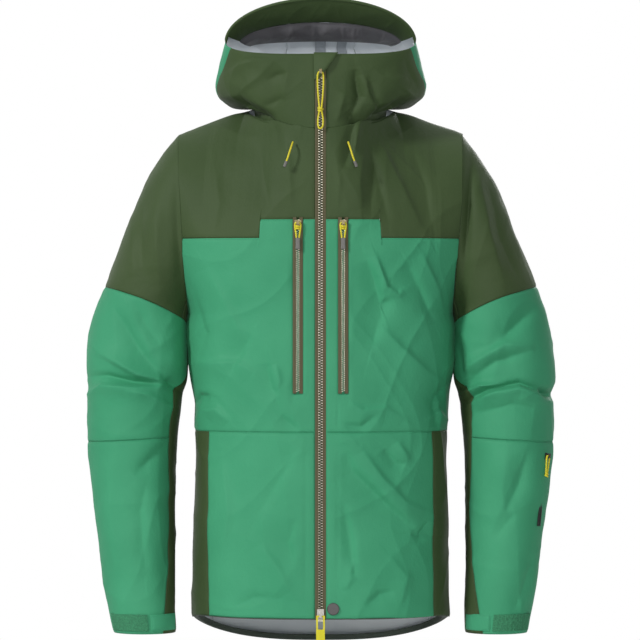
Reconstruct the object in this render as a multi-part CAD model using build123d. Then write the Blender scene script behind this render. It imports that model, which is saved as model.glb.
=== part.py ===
"""Hardshell jacket with hood, as its sewn panels, zips, pulls and fastenings. Millimetres, +Z up.

The jacket hangs with its front to -Y, so the wearer's left is +X. It is laid out about the middle
of the neck and moved at the end, so that the origin is where the hang loop sits on its peg.
Each cloth panel is a thin closed solid between four seam lines, so neighbours share their seams.
"""

import os
from math import acos, asin, atan2, cos, degrees, hypot, pi, sin, sqrt, tan, radians

from build123d import *

# ---- driving dimensions -------------------------------------------------------------------------
CLOTH = 2.0  # shell laminate with its seam allowance
LAYER_GAP = 1.0  # air between one layer of cloth and the next
BOX_POWER = 0.75  # how square the body's cross-section is; 1 is an ellipse

HEM_Z = -706.0  # front hem
BACK_DROP = 52.0  # how far the back hem hangs below the front hem
POCKET_SEAM_Z = -448.0
YOKE_SEAM_Z = -178.0
NECK_FRONT_Z = -25.0
COLLAR_TOP_Z = 79.0
COLLAR_FRONT_Y = -125.0
FRONT_LEAN = 0.038  # the front line comes forward this much for each unit it goes down
ZIP_GAP_HALF = 7.0  # half the gap between the front edges

# Half the body's width and the back's distance, by height.
HALF_WIDTH = [(-745.0, 181.0), (-600.0, 180.0), (-480.0, 177.0), (-430.0, 178.0), (-300.0, 185.5),
              (-282.0, 187.0)]
BACK_Y = [(-745.0, 118.0), (-450.0, 110.0), (-282.0, 118.0), (YOKE_SEAM_Z, 122.0)]
SIDE_SEAM_X = 157.0  # front edge of the olive side panel
SIDE_BACK_TURN = 35.0  # degrees the side panel reaches behind the side seam at the hem

NECK_SIDE = Vector(105, 5, 10)
NECK_BACK = Vector(0, 72, 16)

# Sleeve rings from the armhole to the cuff: outer point x, z, inner point x, z, half depth, middle y.
SLEEVE = [
    (202.0, -28.0, 187.0, -282.0, 85.0, 0.0),
    (250.0, -98.0, 187.6, -286.0, 84.0, 0.0),
    (282.0, -178.0, 188.2, -292.0, 82.0, 0.0),
    (307.0, -245.0, 188.6, -300.0, 80.0, -2.0),
    (324.0, -292.0, 188.6, -340.0, 77.0, -5.0),
    (333.0, -350.0, 190.0, -376.0, 74.0, -8.0),
    (330.0, -400.0, 197.0, -402.0, 71.0, -12.0),
    (331.0, -457.0, 202.0, -450.0, 68.0, -18.0),
    (322.0, -545.0, 206.0, -545.0, 60.0, -28.0),
    (310.0, -640.0, 206.0, -640.0, 52.0, -36.0),
    (293.0, -733.0, 204.0, -733.0, 44.0, -44.0),
]
OLIVE_RING = 3  # the olive upper sleeve ends here
ELBOW_RING = 7
CUFF_RING = len(SLEEVE) - 1
UNDER_ARM_FROM, UNDER_ARM_TO = 150.0, 215.0  # degrees round the sleeve from its outer line

# Hood: corner where its opening meets the collar, and the seam between side and centre panels.
HOOD_CORNER = Vector(134, -64, 99)
HOOD_TOP_Z = 158.0
HOOD_RIM_Y = -104.0
HOOD_SEAM_HALF = 48.0
HOOD_BACK_Y = 106.0
HOOD_BACK_Z = 45.0
HOOD_CROWN = Vector(HOOD_SEAM_HALF, 84, 103)
HOOD_GAP = 1.0  # between the collar and the part of the hood that tips back

# Hang loop: its peg space is the origin of the finished jacket.
LOOP_TOP = Vector(0, 66, 6)
LOOP_WIDTH = 34.0
LOOP_DROP = 14.0
LOOP_TAPE = 8.0
LOOP_THICK = 1.6


# ---- helpers ------------------------------------------------------------------------------------
def mix(a, b, t):
    """Linear blend of two numbers or two points."""
    return a + (b - a) * t


def between(stations, at):
    """Value at a height, in straight steps between the stations (height, value)."""
    for (low, a), (high, b) in zip(stations, stations[1:]):
        if at <= high:
            return mix(a, b, max(0.0, (at - low) / (high - low)))
    return stations[-1][1]


def soft(value):
    """Signed power that squares off a circle into the body's section."""
    return (1 if value >= 0 else -1) * abs(value) ** BOX_POWER


def front_y(z):
    """The straight, slightly leaning line that the front zip follows."""
    return COLLAR_FRONT_Y - (COLLAR_TOP_Z - z) * FRONT_LEAN


def body_point(z, turn):
    """Point of the body below the arms; turn is degrees from centre front towards +X."""
    side, ahead = soft(sin(radians(turn))), soft(cos(radians(turn)))
    reach = -front_y(z) if ahead > 0 else between(BACK_Y, z)
    return Vector(between(HALF_WIDTH, z) * side, -reach * ahead, z)


def turn_at(z, x):
    """Degrees round the body where its front has this x."""
    return degrees(asin((x / between(HALF_WIDTH, z)) ** (1 / BOX_POWER)))


def sleeve_point(ring, turn):
    """Point of the sleeve; turn is degrees from its outer line towards the front."""
    low = min(int(ring), CUFF_RING - 1)
    ox, oz, ix, iz, half, y = (mix(a, b, ring - low) for a, b in zip(SLEEVE[low], SLEEVE[low + 1]))
    c, s = cos(radians(turn)), sin(radians(turn))
    return Vector((ox + ix) / 2 + (ox - ix) / 2 * c, y - half * s, (oz + iz) / 2 + (oz - iz) / 2 * c)


def armhole(z, way):
    """Point of the armhole seam at a height; way is -1 on the front and 1 on the back."""
    top, foot = SLEEVE[0][1], SLEEVE[0][3]
    c = max(-1.0, min(1.0, (z - (top + foot) / 2) / ((top - foot) / 2)))
    turn = degrees(atan2(sqrt(1 - c * c), c))
    return sleeve_point(0, -way * turn)


def bend(a, corner, b, t):
    """Quadratic curve from a to b that leaves and arrives along the lines to its corner."""
    return a * (1 - t) ** 2 + corner * 2 * t * (1 - t) + b * t**2


def patch(low, high, near, far):
    """Surface between four seams: low and high run over u, near and far over v, corners shared."""

    def point(u, v):
        ruled_v = mix(low(u), high(u), v)
        ruled_u = mix(near(v), far(v), u)
        corners = mix(mix(low(0), low(1), u), mix(high(0), high(1), u), v)
        return ruled_v + ruled_u - corners

    return point


def body_middle(p):
    """Point of the body's middle that its cloth gets its thickness towards."""
    return Vector(0.6 * p.X, 0, min(p.Z, -120.0))


def hood_middle(p):
    """Middle of the hood."""
    return Vector(0.3 * p.X, -10, 55)


def inward(p, middle, depth):
    """The point a depth below p, towards the middle."""
    return p + (middle(p) - p).normalized() * depth


def sheet(point, middle, columns, rows, depth=0.0, thick=CLOTH):
    """Closed thin solid over a surface: its outer face lies depth below it, its inner face thick more."""
    grid = [[point(i / columns, j / rows) for i in range(columns + 1)] for j in range(rows + 1)]
    outer = [[inward(p, middle, depth) if depth else p for p in row] for row in grid]
    inner = [[inward(p, middle, depth + thick) for p in row] for row in grid]
    cells = [(i, j) for j in range(rows) for i in range(columns)]
    quads = [(outer[j][i], outer[j][i + 1], outer[j + 1][i + 1], outer[j + 1][i]) for i, j in cells]
    quads += [(inner[j][i], inner[j + 1][i], inner[j + 1][i + 1], inner[j][i + 1]) for i, j in cells]
    for j in (0, rows):
        quads += [(outer[j][i], inner[j][i], inner[j][i + 1], outer[j][i + 1]) for i in range(columns)]
    for i in (0, columns):
        quads += [(outer[j][i], inner[j][i], inner[j + 1][i], outer[j + 1][i]) for j in range(rows)]
    faces = []
    for a, b, c, d in quads:
        faces.append(Face(Wire.make_polygon([a, b, c])))
        faces.append(Face(Wire.make_polygon([a, c, d])))
    solid = Solid(Shell(faces))
    return solid if solid.volume > 0 else Solid(Shell([-f for f in faces]))


def other_side(solid):
    """The wearer's right piece from the left one."""
    return mirror(solid, about=Plane.YZ)


parts = {}


def pair(name, solid):
    """Keeps a left piece and its mirrored right piece."""
    parts[name + "_left"] = solid
    parts[name + "_right"] = other_side(solid)


# ---- body panels --------------------------------------------------------------------------------
def front_edge(low, high, x):
    """Upright seam on the front at one distance from the middle."""
    return lambda t: body_point(mix(low, high, t), turn_at(mix(low, high, t), x))


def body_row(z, start, stop):
    """Level seam round the body between two turns."""
    return lambda t: body_point(z, mix(start, stop, t))


def side_edge(low, high, way):
    """Side seam up to the underarm, then the armhole's front (-1) or back (1) edge."""

    def point(t):
        z = mix(low, high, t)
        return body_point(z, 90) if z < SLEEVE[0][3] else armhole(z, way)

    return point


def wide_row(z, way, edge, share, start_x=0.0):
    """Point of a level row across the chest or back: share runs from start_x out to the edge point."""
    reach = front_y(z) if way < 0 else between(BACK_Y, z)
    end = degrees(acos(abs(edge.Y / reach) ** (1 / BOX_POWER)))
    closing = edge.X / soft(sin(radians(end)))
    start = degrees(asin((start_x / closing) ** (1 / BOX_POWER)))
    turn = radians(mix(start, end, share))
    return Vector(closing * soft(sin(turn)), reach * soft(cos(turn)), z)


def chest_row(way, start_x):
    """Seam across the chest at the yoke, from start_x to the armhole."""
    return lambda t: wide_row(YOKE_SEAM_Z, way, armhole(YOKE_SEAM_Z, way), t, start_x)


def side_back_turn(z):
    """Degrees of the side panel's back seam, which starts at the side seam and widens to the hem."""
    return 90 + SIDE_BACK_TURN * (POCKET_SEAM_Z - z) / (POCKET_SEAM_Z - HEM_Z)


def neck_ring(turn):
    """Neck seam; turn is degrees from centre front towards +X."""
    ahead = cos(radians(turn))
    end = Vector(0, front_y(NECK_FRONT_Z), NECK_FRONT_Z) if ahead > 0 else NECK_BACK
    y = mix(NECK_SIDE.Y, end.Y, abs(ahead))
    return Vector(NECK_SIDE.X * sin(radians(turn)), y, mix(NECK_SIDE.Z, end.Z, ahead * ahead))


NECK_START = degrees(asin(ZIP_GAP_HALF / NECK_SIDE.X))
SHOULDER_TIP = armhole(SLEEVE[0][1], -1)


def yoke_top(way, start):
    """Neck seam for the first half, then the shoulder seam out to the sleeve."""

    def point(t):
        if t <= 0.5:
            return neck_ring(mix(start, 90, 2 * t))
        return mix(NECK_SIDE, SHOULDER_TIP, 2 * t - 1)

    return point


def armhole_rise(way):
    """Armhole edge from the yoke seam to the shoulder tip, in even turns."""
    top, foot = SLEEVE[0][1], SLEEVE[0][3]
    c = (YOKE_SEAM_Z - (top + foot) / 2) / ((top - foot) / 2)
    start = degrees(atan2(sqrt(1 - c * c), c))
    return lambda t: sleeve_point(0, -way * start * (1 - t))


def yoke_start(t):
    """The yoke's front edge beside the zip."""
    return mix(chest_row(-1, ZIP_GAP_HALF)(0), neck_ring(NECK_START), t)


def back_middle(t):
    """Centre line of the back yoke, curving in to the neck."""
    low = chest_row(1, 0)(0)
    return bend(low, Vector(0, low.Y, NECK_BACK.Z - 30), NECK_BACK, t)


SIDE_ROWS, CHEST_ROWS = 3, 6  # facets up the panels below and above the pocket seam
ROW_COLUMNS = 12  # facets across half the chest or back

front_low = patch(
    body_row(HEM_Z, turn_at(HEM_Z, ZIP_GAP_HALF), turn_at(HEM_Z, SIDE_SEAM_X)),
    body_row(POCKET_SEAM_Z, turn_at(POCKET_SEAM_Z, ZIP_GAP_HALF), turn_at(POCKET_SEAM_Z, SIDE_SEAM_X)),
    front_edge(HEM_Z, POCKET_SEAM_Z, ZIP_GAP_HALF),
    front_edge(HEM_Z, POCKET_SEAM_Z, SIDE_SEAM_X),
)
pair("front_panel", sheet(front_low, body_middle, 6, SIDE_ROWS))


def hem_fall(turn):
    """How far the hem hangs below the front hem: none before the side seam, most at the centre back."""
    start = turn_at(HEM_Z, SIDE_SEAM_X)
    t = max(0, (min(turn, 360 - turn) - start) / (180 - start))
    return BACK_DROP * sin(radians(90 * t)) ** 2


def hem_point(turn):
    """Point of the hem edge at a turn round the body."""
    p = body_point(HEM_Z, turn)
    return Vector(p.X, p.Y, HEM_Z - hem_fall(turn))


def chest(u, v):
    """Chest panel between the pocket seam and the yoke."""
    z = mix(POCKET_SEAM_Z, YOKE_SEAM_Z, v)
    return wide_row(z, -1, side_edge(z, z, -1)(0), u, ZIP_GAP_HALF)


pair("chest_panel", sheet(chest, body_middle, ROW_COLUMNS, CHEST_ROWS))

def side_back_seam(t):
    """Seam between the side and back panels, from the hem up."""
    z = mix(HEM_Z, POCKET_SEAM_Z, t)
    p = body_point(z, side_back_turn(z))
    return Vector(p.X, p.Y, z - hem_fall(side_back_turn(HEM_Z)) * (1 - t))


side = patch(
    lambda t: hem_point(mix(turn_at(HEM_Z, SIDE_SEAM_X), side_back_turn(HEM_Z), t)),
    body_row(POCKET_SEAM_Z, turn_at(POCKET_SEAM_Z, SIDE_SEAM_X), side_back_turn(POCKET_SEAM_Z)),
    front_edge(HEM_Z, POCKET_SEAM_Z, SIDE_SEAM_X),
    side_back_seam,
)
pair("side_panel", sheet(side, body_middle, 4, SIDE_ROWS))


def flip(p):
    """Mirror image of a point across the middle."""
    return Vector(-p.X, p.Y, p.Z)


def back(u, v):
    """Whole back panel: the side panels' seams below the pocket seam, the armholes above it."""
    low = SIDE_ROWS / (SIDE_ROWS + CHEST_ROWS)
    if v > low:
        z = mix(POCKET_SEAM_Z, YOKE_SEAM_Z, (v - low) / (1 - low))
        across = 1 - 2 * u
        p = wide_row(z, 1, side_edge(z, z, 1)(0), abs(across))
        return p if across > 0 else flip(p)
    z = mix(HEM_Z, POCKET_SEAM_Z, v / low)
    p = body_point(z, mix(side_back_turn(z), 360 - side_back_turn(z), u))
    fall = hem_fall(mix(side_back_turn(HEM_Z), 360 - side_back_turn(HEM_Z), u))
    return Vector(p.X, p.Y, z - fall * (1 - v / low))


parts["back_panel"] = sheet(back, body_middle, 2 * ROW_COLUMNS, SIDE_ROWS + CHEST_ROWS)

front_yoke = patch(chest_row(-1, ZIP_GAP_HALF), yoke_top(-1, NECK_START), yoke_start, armhole_rise(-1))
pair("front_yoke", sheet(front_yoke, body_middle, ROW_COLUMNS, 5))

back_half = patch(
    chest_row(1, 0),
    lambda t: neck_ring(mix(180, 90, 2 * t)) if t <= 0.5 else mix(NECK_SIDE, SHOULDER_TIP, 2 * t - 1),
    back_middle,
    armhole_rise(1),
)


def back_yoke(u, v):
    """Whole back yoke from the two mirrored halves."""
    return back_half(1 - 2 * u, v) if u <= 0.5 else flip(back_half(2 * u - 1, v))


parts["back_yoke"] = sheet(back_yoke, body_middle, 2 * ROW_COLUMNS, 5)


# ---- sleeves ------------------------------------------------------------------------------------
def sleeve_cloth(ring_from, ring_to, turn_from, turn_to, columns, depth=0.0, thick=CLOTH):
    """Panel of a sleeve between two rings and two lines along it."""
    rows = max(1, round(ring_to - ring_from))
    grid = {}
    for j in range(rows + 1):
        ring = mix(ring_from, ring_to, j / rows)
        middle = (sleeve_point(ring, 0) + sleeve_point(ring, 180)) / 2
        for i in range(columns + 1):
            p = sleeve_point(ring, mix(turn_from, turn_to, i / columns))
            grid[i, j] = (p, middle)

    def point(u, v):
        return grid[round(u * columns), round(v * rows)][0]

    def middle(p):
        return min(grid.values(), key=lambda kept: (kept[0] - p).length)[1]

    return sheet(point, middle, columns, rows, depth, thick)


OUTER_TURNS = (UNDER_ARM_TO - 360, UNDER_ARM_FROM)
pair("upper_sleeve", sleeve_cloth(0, OLIVE_RING, *OUTER_TURNS, 12))
pair("mid_sleeve", sleeve_cloth(OLIVE_RING, ELBOW_RING, *OUTER_TURNS, 12))
pair("forearm", sleeve_cloth(ELBOW_RING, CUFF_RING, *OUTER_TURNS, 12))
pair("under_sleeve", sleeve_cloth(0, CUFF_RING, UNDER_ARM_FROM, UNDER_ARM_TO, 3))


# ---- collar and hood ----------------------------------------------------------------------------
COLLAR_START = Vector(ZIP_GAP_HALF, front_y(COLLAR_TOP_Z), COLLAR_TOP_Z)


def collar_front_top(t):
    """Top edge of the collar from the zip to the corner of the hood opening."""
    corner = Vector(HOOD_CORNER.X, COLLAR_START.Y, COLLAR_START.Z - 3)
    return bend(COLLAR_START, corner, HOOD_CORNER, t)


def collar_back_top(t):
    """Where the hood folds away from the collar, from its corner to the middle of the back."""
    corner = Vector(HOOD_CORNER.X + 31, HOOD_BACK_Y, HOOD_BACK_Z)
    return bend(HOOD_CORNER, corner, Vector(0, HOOD_BACK_Y, HOOD_BACK_Z), t)


def collar_side(t):
    """Puffed side of the collar from the neck seam up to the hood corner."""
    return bend(NECK_SIDE, Vector(165, -10, 2), HOOD_CORNER, t)


collar = patch(
    lambda t: neck_ring(mix(NECK_START, 90, t)),
    collar_front_top,
    lambda t: mix(neck_ring(NECK_START), COLLAR_START, t),
    collar_side,
)
pair("collar", sheet(collar, hood_middle, 6, 5))

collar_half = patch(
    lambda t: neck_ring(mix(90, 180, t)),
    collar_back_top,
    collar_side,
    lambda t: bend(NECK_BACK, Vector(0, HOOD_BACK_Y, NECK_BACK.Z + 6), collar_back_top(1), t),
)


def collar_back(u, v):
    """Back of the collar from the left side round to the right."""
    return collar_half(2 * u, v) if u <= 0.5 else flip(collar_half(2 - 2 * u, v))


parts["collar_back"] = sheet(collar_back, hood_middle, 12, 5)
parts["neck_lining"] = sheet(collar_back, hood_middle, 12, 5, CLOTH + LAYER_GAP, 1.0)

LIFT = Vector(0, 0, HOOD_GAP)
SEAM_TURN = degrees(asin(1) - asin(HOOD_SEAM_HALF / HOOD_CORNER.X))
SEAM_SHARE = 0.84  # share of the hood's lower edge that belongs to the side panel


def rim(turn):
    """Edge of the hood opening from its left corner (0) over the top (90) to the right (180)."""
    c, s = cos(radians(turn)), sin(radians(turn))
    y = mix(HOOD_CORNER.Y, HOOD_RIM_Y, s)
    return Vector(HOOD_CORNER.X * c, y, mix(HOOD_CORNER.Z, HOOD_TOP_Z, s)) + LIFT


def crown_seam(t):
    """Seam over the crown from the rim back to its turn."""
    return bend(rim(SEAM_TURN), Vector(HOOD_SEAM_HALF + 12, 0, HOOD_TOP_Z - 14), HOOD_CROWN, t)


def nape_seam(t):
    """Seam down the back of the hood, from its lower edge up to the crown's turn."""
    low = collar_back_top(SEAM_SHARE) + LIFT
    return bend(low, Vector(HOOD_SEAM_HALF + 10, HOOD_BACK_Y + 8, 80), HOOD_CROWN, t)


hood_side = patch(
    lambda t: rim(mix(0, SEAM_TURN, t)),
    nape_seam,
    lambda t: collar_back_top(SEAM_SHARE * t) + LIFT,
    crown_seam,
)
pair("hood_side_panel", sheet(hood_side, hood_middle, 6, 6))


def centre_edge(t):
    """Left edge of the hood's centre panel: over the crown, then down the nape."""
    return crown_seam(2 * t) if t <= 0.5 else nape_seam(2 - 2 * t)


def centre_foot(t):
    """Lower edge of the centre panel at the nape, from left to right."""
    half = collar_back_top(mix(SEAM_SHARE, 1, 2 * t if t <= 0.5 else 2 - 2 * t)) + LIFT
    return half if t <= 0.5 else flip(half)


hood_centre = patch(
    lambda t: rim(mix(SEAM_TURN, 180 - SEAM_TURN, t)),
    centre_foot,
    centre_edge,
    lambda t: flip(centre_edge(t)),
)
parts["hood_centre_panel"] = sheet(hood_centre, hood_middle, 4, 12)

BRIM_FROM, FACING_FROM = 9.0, 7.0  # degrees round the rim where the stiff peak and its facing start
BRIM_DEPTH, BRIM_DIP = 34.0, 30.0
FACING_DEPTH, FACING_DIP = 38.0, 24.0
SIDE_DIP = 0.6  # share of the dip that the bands draw in by at the sides


def brim_middle(p):
    """Point before the face that the bands under the rim get their thickness towards."""
    return Vector(0.3 * p.X, -170, 20)


def hood_band(turn_from, back_from, back_to):
    """Band inside the rim between two distances (back, down) behind it, drawn in with its depth."""

    def point(u, v):
        back, dip = mix(back_from[0], back_to[0], v), mix(back_from[1], back_to[1], v)
        turn = mix(turn_from, 180 - turn_from, u)
        p = rim(turn)
        aside = dip * SIDE_DIP * cos(radians(turn))
        return Vector(p.X - aside, p.Y + back, p.Z - dip * sin(radians(turn)))

    return point


BRIM_BACK = (BRIM_DEPTH, BRIM_DIP)
FACING_FRONT = (BRIM_DEPTH + 1, BRIM_DIP + 0.5)
FACING_BACK = (BRIM_DEPTH + FACING_DEPTH, BRIM_DIP + FACING_DIP)
parts["hood_brim"] = sheet(
    hood_band(BRIM_FROM, (0.0, 0.0), BRIM_BACK), brim_middle, 10, 2, CLOTH + LAYER_GAP, 1.5
)
parts["hood_facing"] = sheet(
    hood_band(FACING_FROM, FACING_FRONT, FACING_BACK), brim_middle, 12, 2, CLOTH + LAYER_GAP, 1.0
)


# ---- hem, storm strip and chin flap -------------------------------------------------------------
HEM_TURN_UP = 25.0
HEM_GAP = 9.0  # the turned hem stands this far inside the shell
STORM_HALF, STORM_DEPTH, STORM_THICK = 16.0, 7.0, 1.5


def hem_band(u, v):
    """Turned-up hem inside the body from one front edge round the back to the other."""
    start = turn_at(HEM_Z, ZIP_GAP_HALF)
    turn = mix(start, 360 - start, u)
    p = hem_point(turn)
    return Vector(p.X, p.Y, p.Z + HEM_TURN_UP * v)


parts["hem_facing"] = sheet(hem_band, body_middle, 22, 1, CLOTH + HEM_GAP, 1.0)


def front_plane(x, z, out=0.0):
    """Work plane on the front line: local x is +X, local y up the front, local z outwards."""
    spot = Plane((x, front_y(z), z), x_dir=(1, 0, 0), z_dir=(0, -1, FRONT_LEAN))
    return spot.offset(out)


def strip(x_from, x_to, z_from, z_to, out_from, out_to):
    """Straight bar along the front line between two distances out of the cloth's face."""
    length = (z_to - z_from) * hypot(1, FRONT_LEAN)
    bar = Box(x_to - x_from, length, out_to - out_from, align=(Align.MIN, Align.MIN, Align.MIN))
    return front_plane(x_from, z_from, out_from) * bar


parts["wind_flap"] = strip(
    -STORM_HALF, STORM_HALF, HEM_Z + HEM_TURN_UP + 2, COLLAR_TOP_Z - 12, -STORM_DEPTH - STORM_THICK,
    -STORM_DEPTH
)


# ---- zips ---------------------------------------------------------------------------------------
TEETH_SLOT_HALF = 0.8  # half the gap between the two rows, where a slider's bridge runs
TEETH_HALF = 2.8  # half the width over both rows
TEETH_THICK = 2.8
TAPE_THICK = 1.0
TAPE_BACK = 1.6  # how far behind the cloth's face the tape's back lies
SLIDE_FIT = 0.4  # clearance round a slider
PLATE_THICK = 1.2
BRIDGE_HALF = 0.5
MAIN_ZIP_TOP_Z, MAIN_ZIP_FOOT_Z = 58.0, -706.0
CHEST_ZIP_X, CHEST_ZIP_HALF = 31.5, 6.4
CHEST_ZIP_TOP_Z, CHEST_ZIP_FOOT_Z = -152.0, -392.0
SEWN_GAP = 0.1  # between a tape's edge and the cloth it is sewn to


class Zip:
    """A straight zip's local frame: x across, y up the zip, z out of the cloth; y is 0 at its foot."""

    def __init__(self, plane, half, length, face):
        self.plane, self.half, self.length, self.face = plane, half, length, face

    def bar(self, x_from, x_to, y_from, y_to, out_from, out_to):
        """Box between pairs of limits along the zip's own axes, outwards from the teeth's face."""
        size = (x_to - x_from, y_to - y_from, out_to - out_from)
        low = (x_from, y_from, self.face + out_from)
        return self.plane * Pos(*low) * Box(*size, align=(Align.MIN, Align.MIN, Align.MIN))

    def tape(self, way):
        """Woven tape beside one row of teeth."""
        inner, outer = sorted((way * TEETH_HALF, way * (self.half - SEWN_GAP)))
        middle = -TEETH_THICK / 2
        return self.bar(inner, outer, 0, self.length, middle - TAPE_THICK / 2, middle + TAPE_THICK / 2)

    def teeth(self, way):
        """One row of teeth as its closed bar."""
        inner, outer = sorted((way * TEETH_SLOT_HALF, way * TEETH_HALF))
        return self.bar(inner, outer, 0, self.length, -TEETH_THICK, 0)

    def slider(self, y, width, tall, lug, way=1):
        """Slider whose lug end is at y: two plates, the bridge in the slot, and the lug with its eye.

        way is 1 where the body hangs below y and -1 where it stands above. lug is its half-width,
        the eye's radius and the eye's distance out of the front plate.
        """
        half, eye, out = lug
        foot, head = sorted((y, y - way * tall))
        front = self.bar(-width / 2, width / 2, foot, head, SLIDE_FIT, SLIDE_FIT + PLATE_THICK)
        rear_out = -TEETH_THICK - SLIDE_FIT
        rear = self.bar(-width / 2, width / 2, foot, head, rear_out - PLATE_THICK, rear_out)
        near, far = sorted((y - way * 0.5, y - way * 0.4 * tall))
        bridge = self.bar(-BRIDGE_HALF, BRIDGE_HALF, near, far, rear_out, SLIDE_FIT)
        axis_out = SLIDE_FIT + PLATE_THICK + out
        at = y - way * (eye + 1.6)
        lug_bar = self.bar(-half, half, at - eye - 1.2, at + eye + 1.2, SLIDE_FIT + PLATE_THICK,
                           axis_out + eye + 1.2)
        hole = self.plane * Pos(0, at, self.face + axis_out) * Rot(0, 90, 0) * Cylinder(eye, 4 * half)
        return front + rear + bridge + (lug_bar - hole), (at, self.face + axis_out)

    def spot(self, x, y, out):
        """Global point of a local one."""
        return self.plane.from_local_coords(Vector(x, y, out))


def front_zip(x, z_foot, z_top, half):
    """Zip on the front line at one distance from the middle."""
    plane = front_plane(x, z_foot)
    return Zip(plane, half, (z_top - z_foot) * hypot(1, FRONT_LEAN), -TAPE_BACK + TEETH_THICK / 2 + 0.5)


main_zip = front_zip(0, MAIN_ZIP_FOOT_Z, MAIN_ZIP_TOP_Z, ZIP_GAP_HALF)
parts["main_zip_tapes"] = Compound(children=[main_zip.tape(1), main_zip.tape(-1)])
for side_name, way in (("left", 1), ("right", -1)):
    parts["main_zip_teeth_" + side_name] = main_zip.teeth(way)

STOP_TALL = 3.0
parts["zip_bottom_stop"] = main_zip.bar(-4.5, 4.5, -STOP_TALL - SEWN_GAP, -SEWN_GAP, -TEETH_THICK, 0.6)

# ---- sliders and their pulls --------------------------------------------------------------------
CORD = 2.4  # pull cord's diameter
LUG = (2.0, 1.9, 2.9)  # lug's half-width, eye's radius, eye's distance out of the front plate
SLIDER_WIDTH, SLIDER_TALL = 9.4, 13.0
LEG = LUG[0] + CORD / 2 + 1.0  # a cord's leg stands this far to each side of the lug's middle
DOCK = 1.0  # a closed slider stops this far from its zip's end


def tube(route, diameter, closest):
    """Cord along straight runs and arcs as large as each corner's shorter run allows."""
    points = [Vector(p) for p in route]
    radii = []
    for a, b, c in zip(points, points[1:], points[2:]):
        turn = (b - a).get_angle(c - b)
        radii.append(0.45 * min((b - a).length, (c - b).length) / tan(radians(turn / 2)))
    path = FilletPolyline(*points, radius=radii)
    start = Plane(path @ 0, z_dir=path % 0)
    solid = sweep(start * Circle(diameter / 2), path=path)
    share = solid.volume / (pi * diameter**2 / 4 * path.length)
    print(f"cord {path.length:.1f} long, least radius {min(radii):.1f} (needs {closest:.1f}), fill {share:.4f}")
    return solid


def pull_cord(zip_line, eye, half_route):
    """Cord through a lug's eye: half_route is (x, y below the eye) from its left end up to the eye."""
    left = [(-x, y) for x, y in half_route]
    right = [(x, y) for x, y in reversed(half_route)]
    route = [zip_line.spot(x, eye[0] + y, eye[1]) for x, y in left + right]
    return tube(route, CORD, CORD)


main_eye_slider, main_eye = main_zip.slider(main_zip.length - DOCK, SLIDER_WIDTH, SLIDER_TALL, LUG)
parts["main_slider"] = main_eye_slider
MAIN_LOOP = [(4.0, -66.0), (3.2, -79.0)]
MAIN_HALF = [(1.5, -50.0), (3.1, -36.0), (4.2, -18.0), (LEG, 0.0)]
main_route = [(-x, y) for x, y in MAIN_HALF] + [(x, y) for x, y in reversed(MAIN_HALF)]
main_route += [(1.7, -56.0), *MAIN_LOOP, (-3.2, -80.0), (-4.0, -66.0), (-1.7, -56.0)]
main_cord = tube([main_zip.spot(x, main_eye[0] + y, main_eye[1]) for x, y in main_route], CORD, CORD)
parts["main_pull_cord"] = main_cord
KNOT_AT = -53.0
KNOT_R = 3.1 + CORD / 2
KNOT_SLOT, KNOT_THROAT = 1.8 + CORD / 2, CORD / 2 + 0.2  # half the slot the strands pass through
knot = Pos(*main_zip.spot(0, main_eye[0] + KNOT_AT, main_eye[1])) * Sphere(KNOT_R)
knot_out = main_eye[1] - main_zip.face
throat = (knot_out - KNOT_THROAT, knot_out + KNOT_THROAT)
knot_low, knot_high = main_eye[0] + KNOT_AT - 9, main_eye[0] + KNOT_AT + 9
parts["main_pull_knot"] = knot - main_zip.bar(-KNOT_SLOT, KNOT_SLOT, knot_low, knot_high, *throat)

# The second slider stands at the foot of the zip with its eye downwards, and carries a webbing tab.
bottom_slider, bottom_eye = main_zip.slider(DOCK, SLIDER_WIDTH, SLIDER_TALL, (1.6, 1.5, 2.4), -1)
parts["bottom_slider"] = bottom_slider
TAB_WIDTH, TAB_THICK, TAB_LONG, TAB_PIN = 12.0, 1.6, 32.0, 1.2
BAIL_LONG = 19.0  # wire bail from the eye to the webbing


def webbing_tab(zip_line, eye):
    """Folded webbing on a wire bail that passes through the eye."""
    y, out = eye
    middle = zip_line.plane * Pos(0, y, out)
    pin = middle * Rot(0, 90, 0) * Cylinder(TAB_PIN, TAB_WIDTH)
    reach = TAB_WIDTH / 2 - TAB_PIN
    legs = [middle * Pos(way * reach, -BAIL_LONG / 2, 0) * Box(2 * TAB_PIN, BAIL_LONG, 2 * TAB_PIN)
            for way in (1, -1)]
    tab = middle * Pos(0, -BAIL_LONG - TAB_LONG / 2 + 1, 0) * Box(TAB_WIDTH, TAB_LONG, TAB_THICK)
    return pin + legs + tab


parts["bottom_pull_tab"] = webbing_tab(main_zip, bottom_eye)

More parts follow.
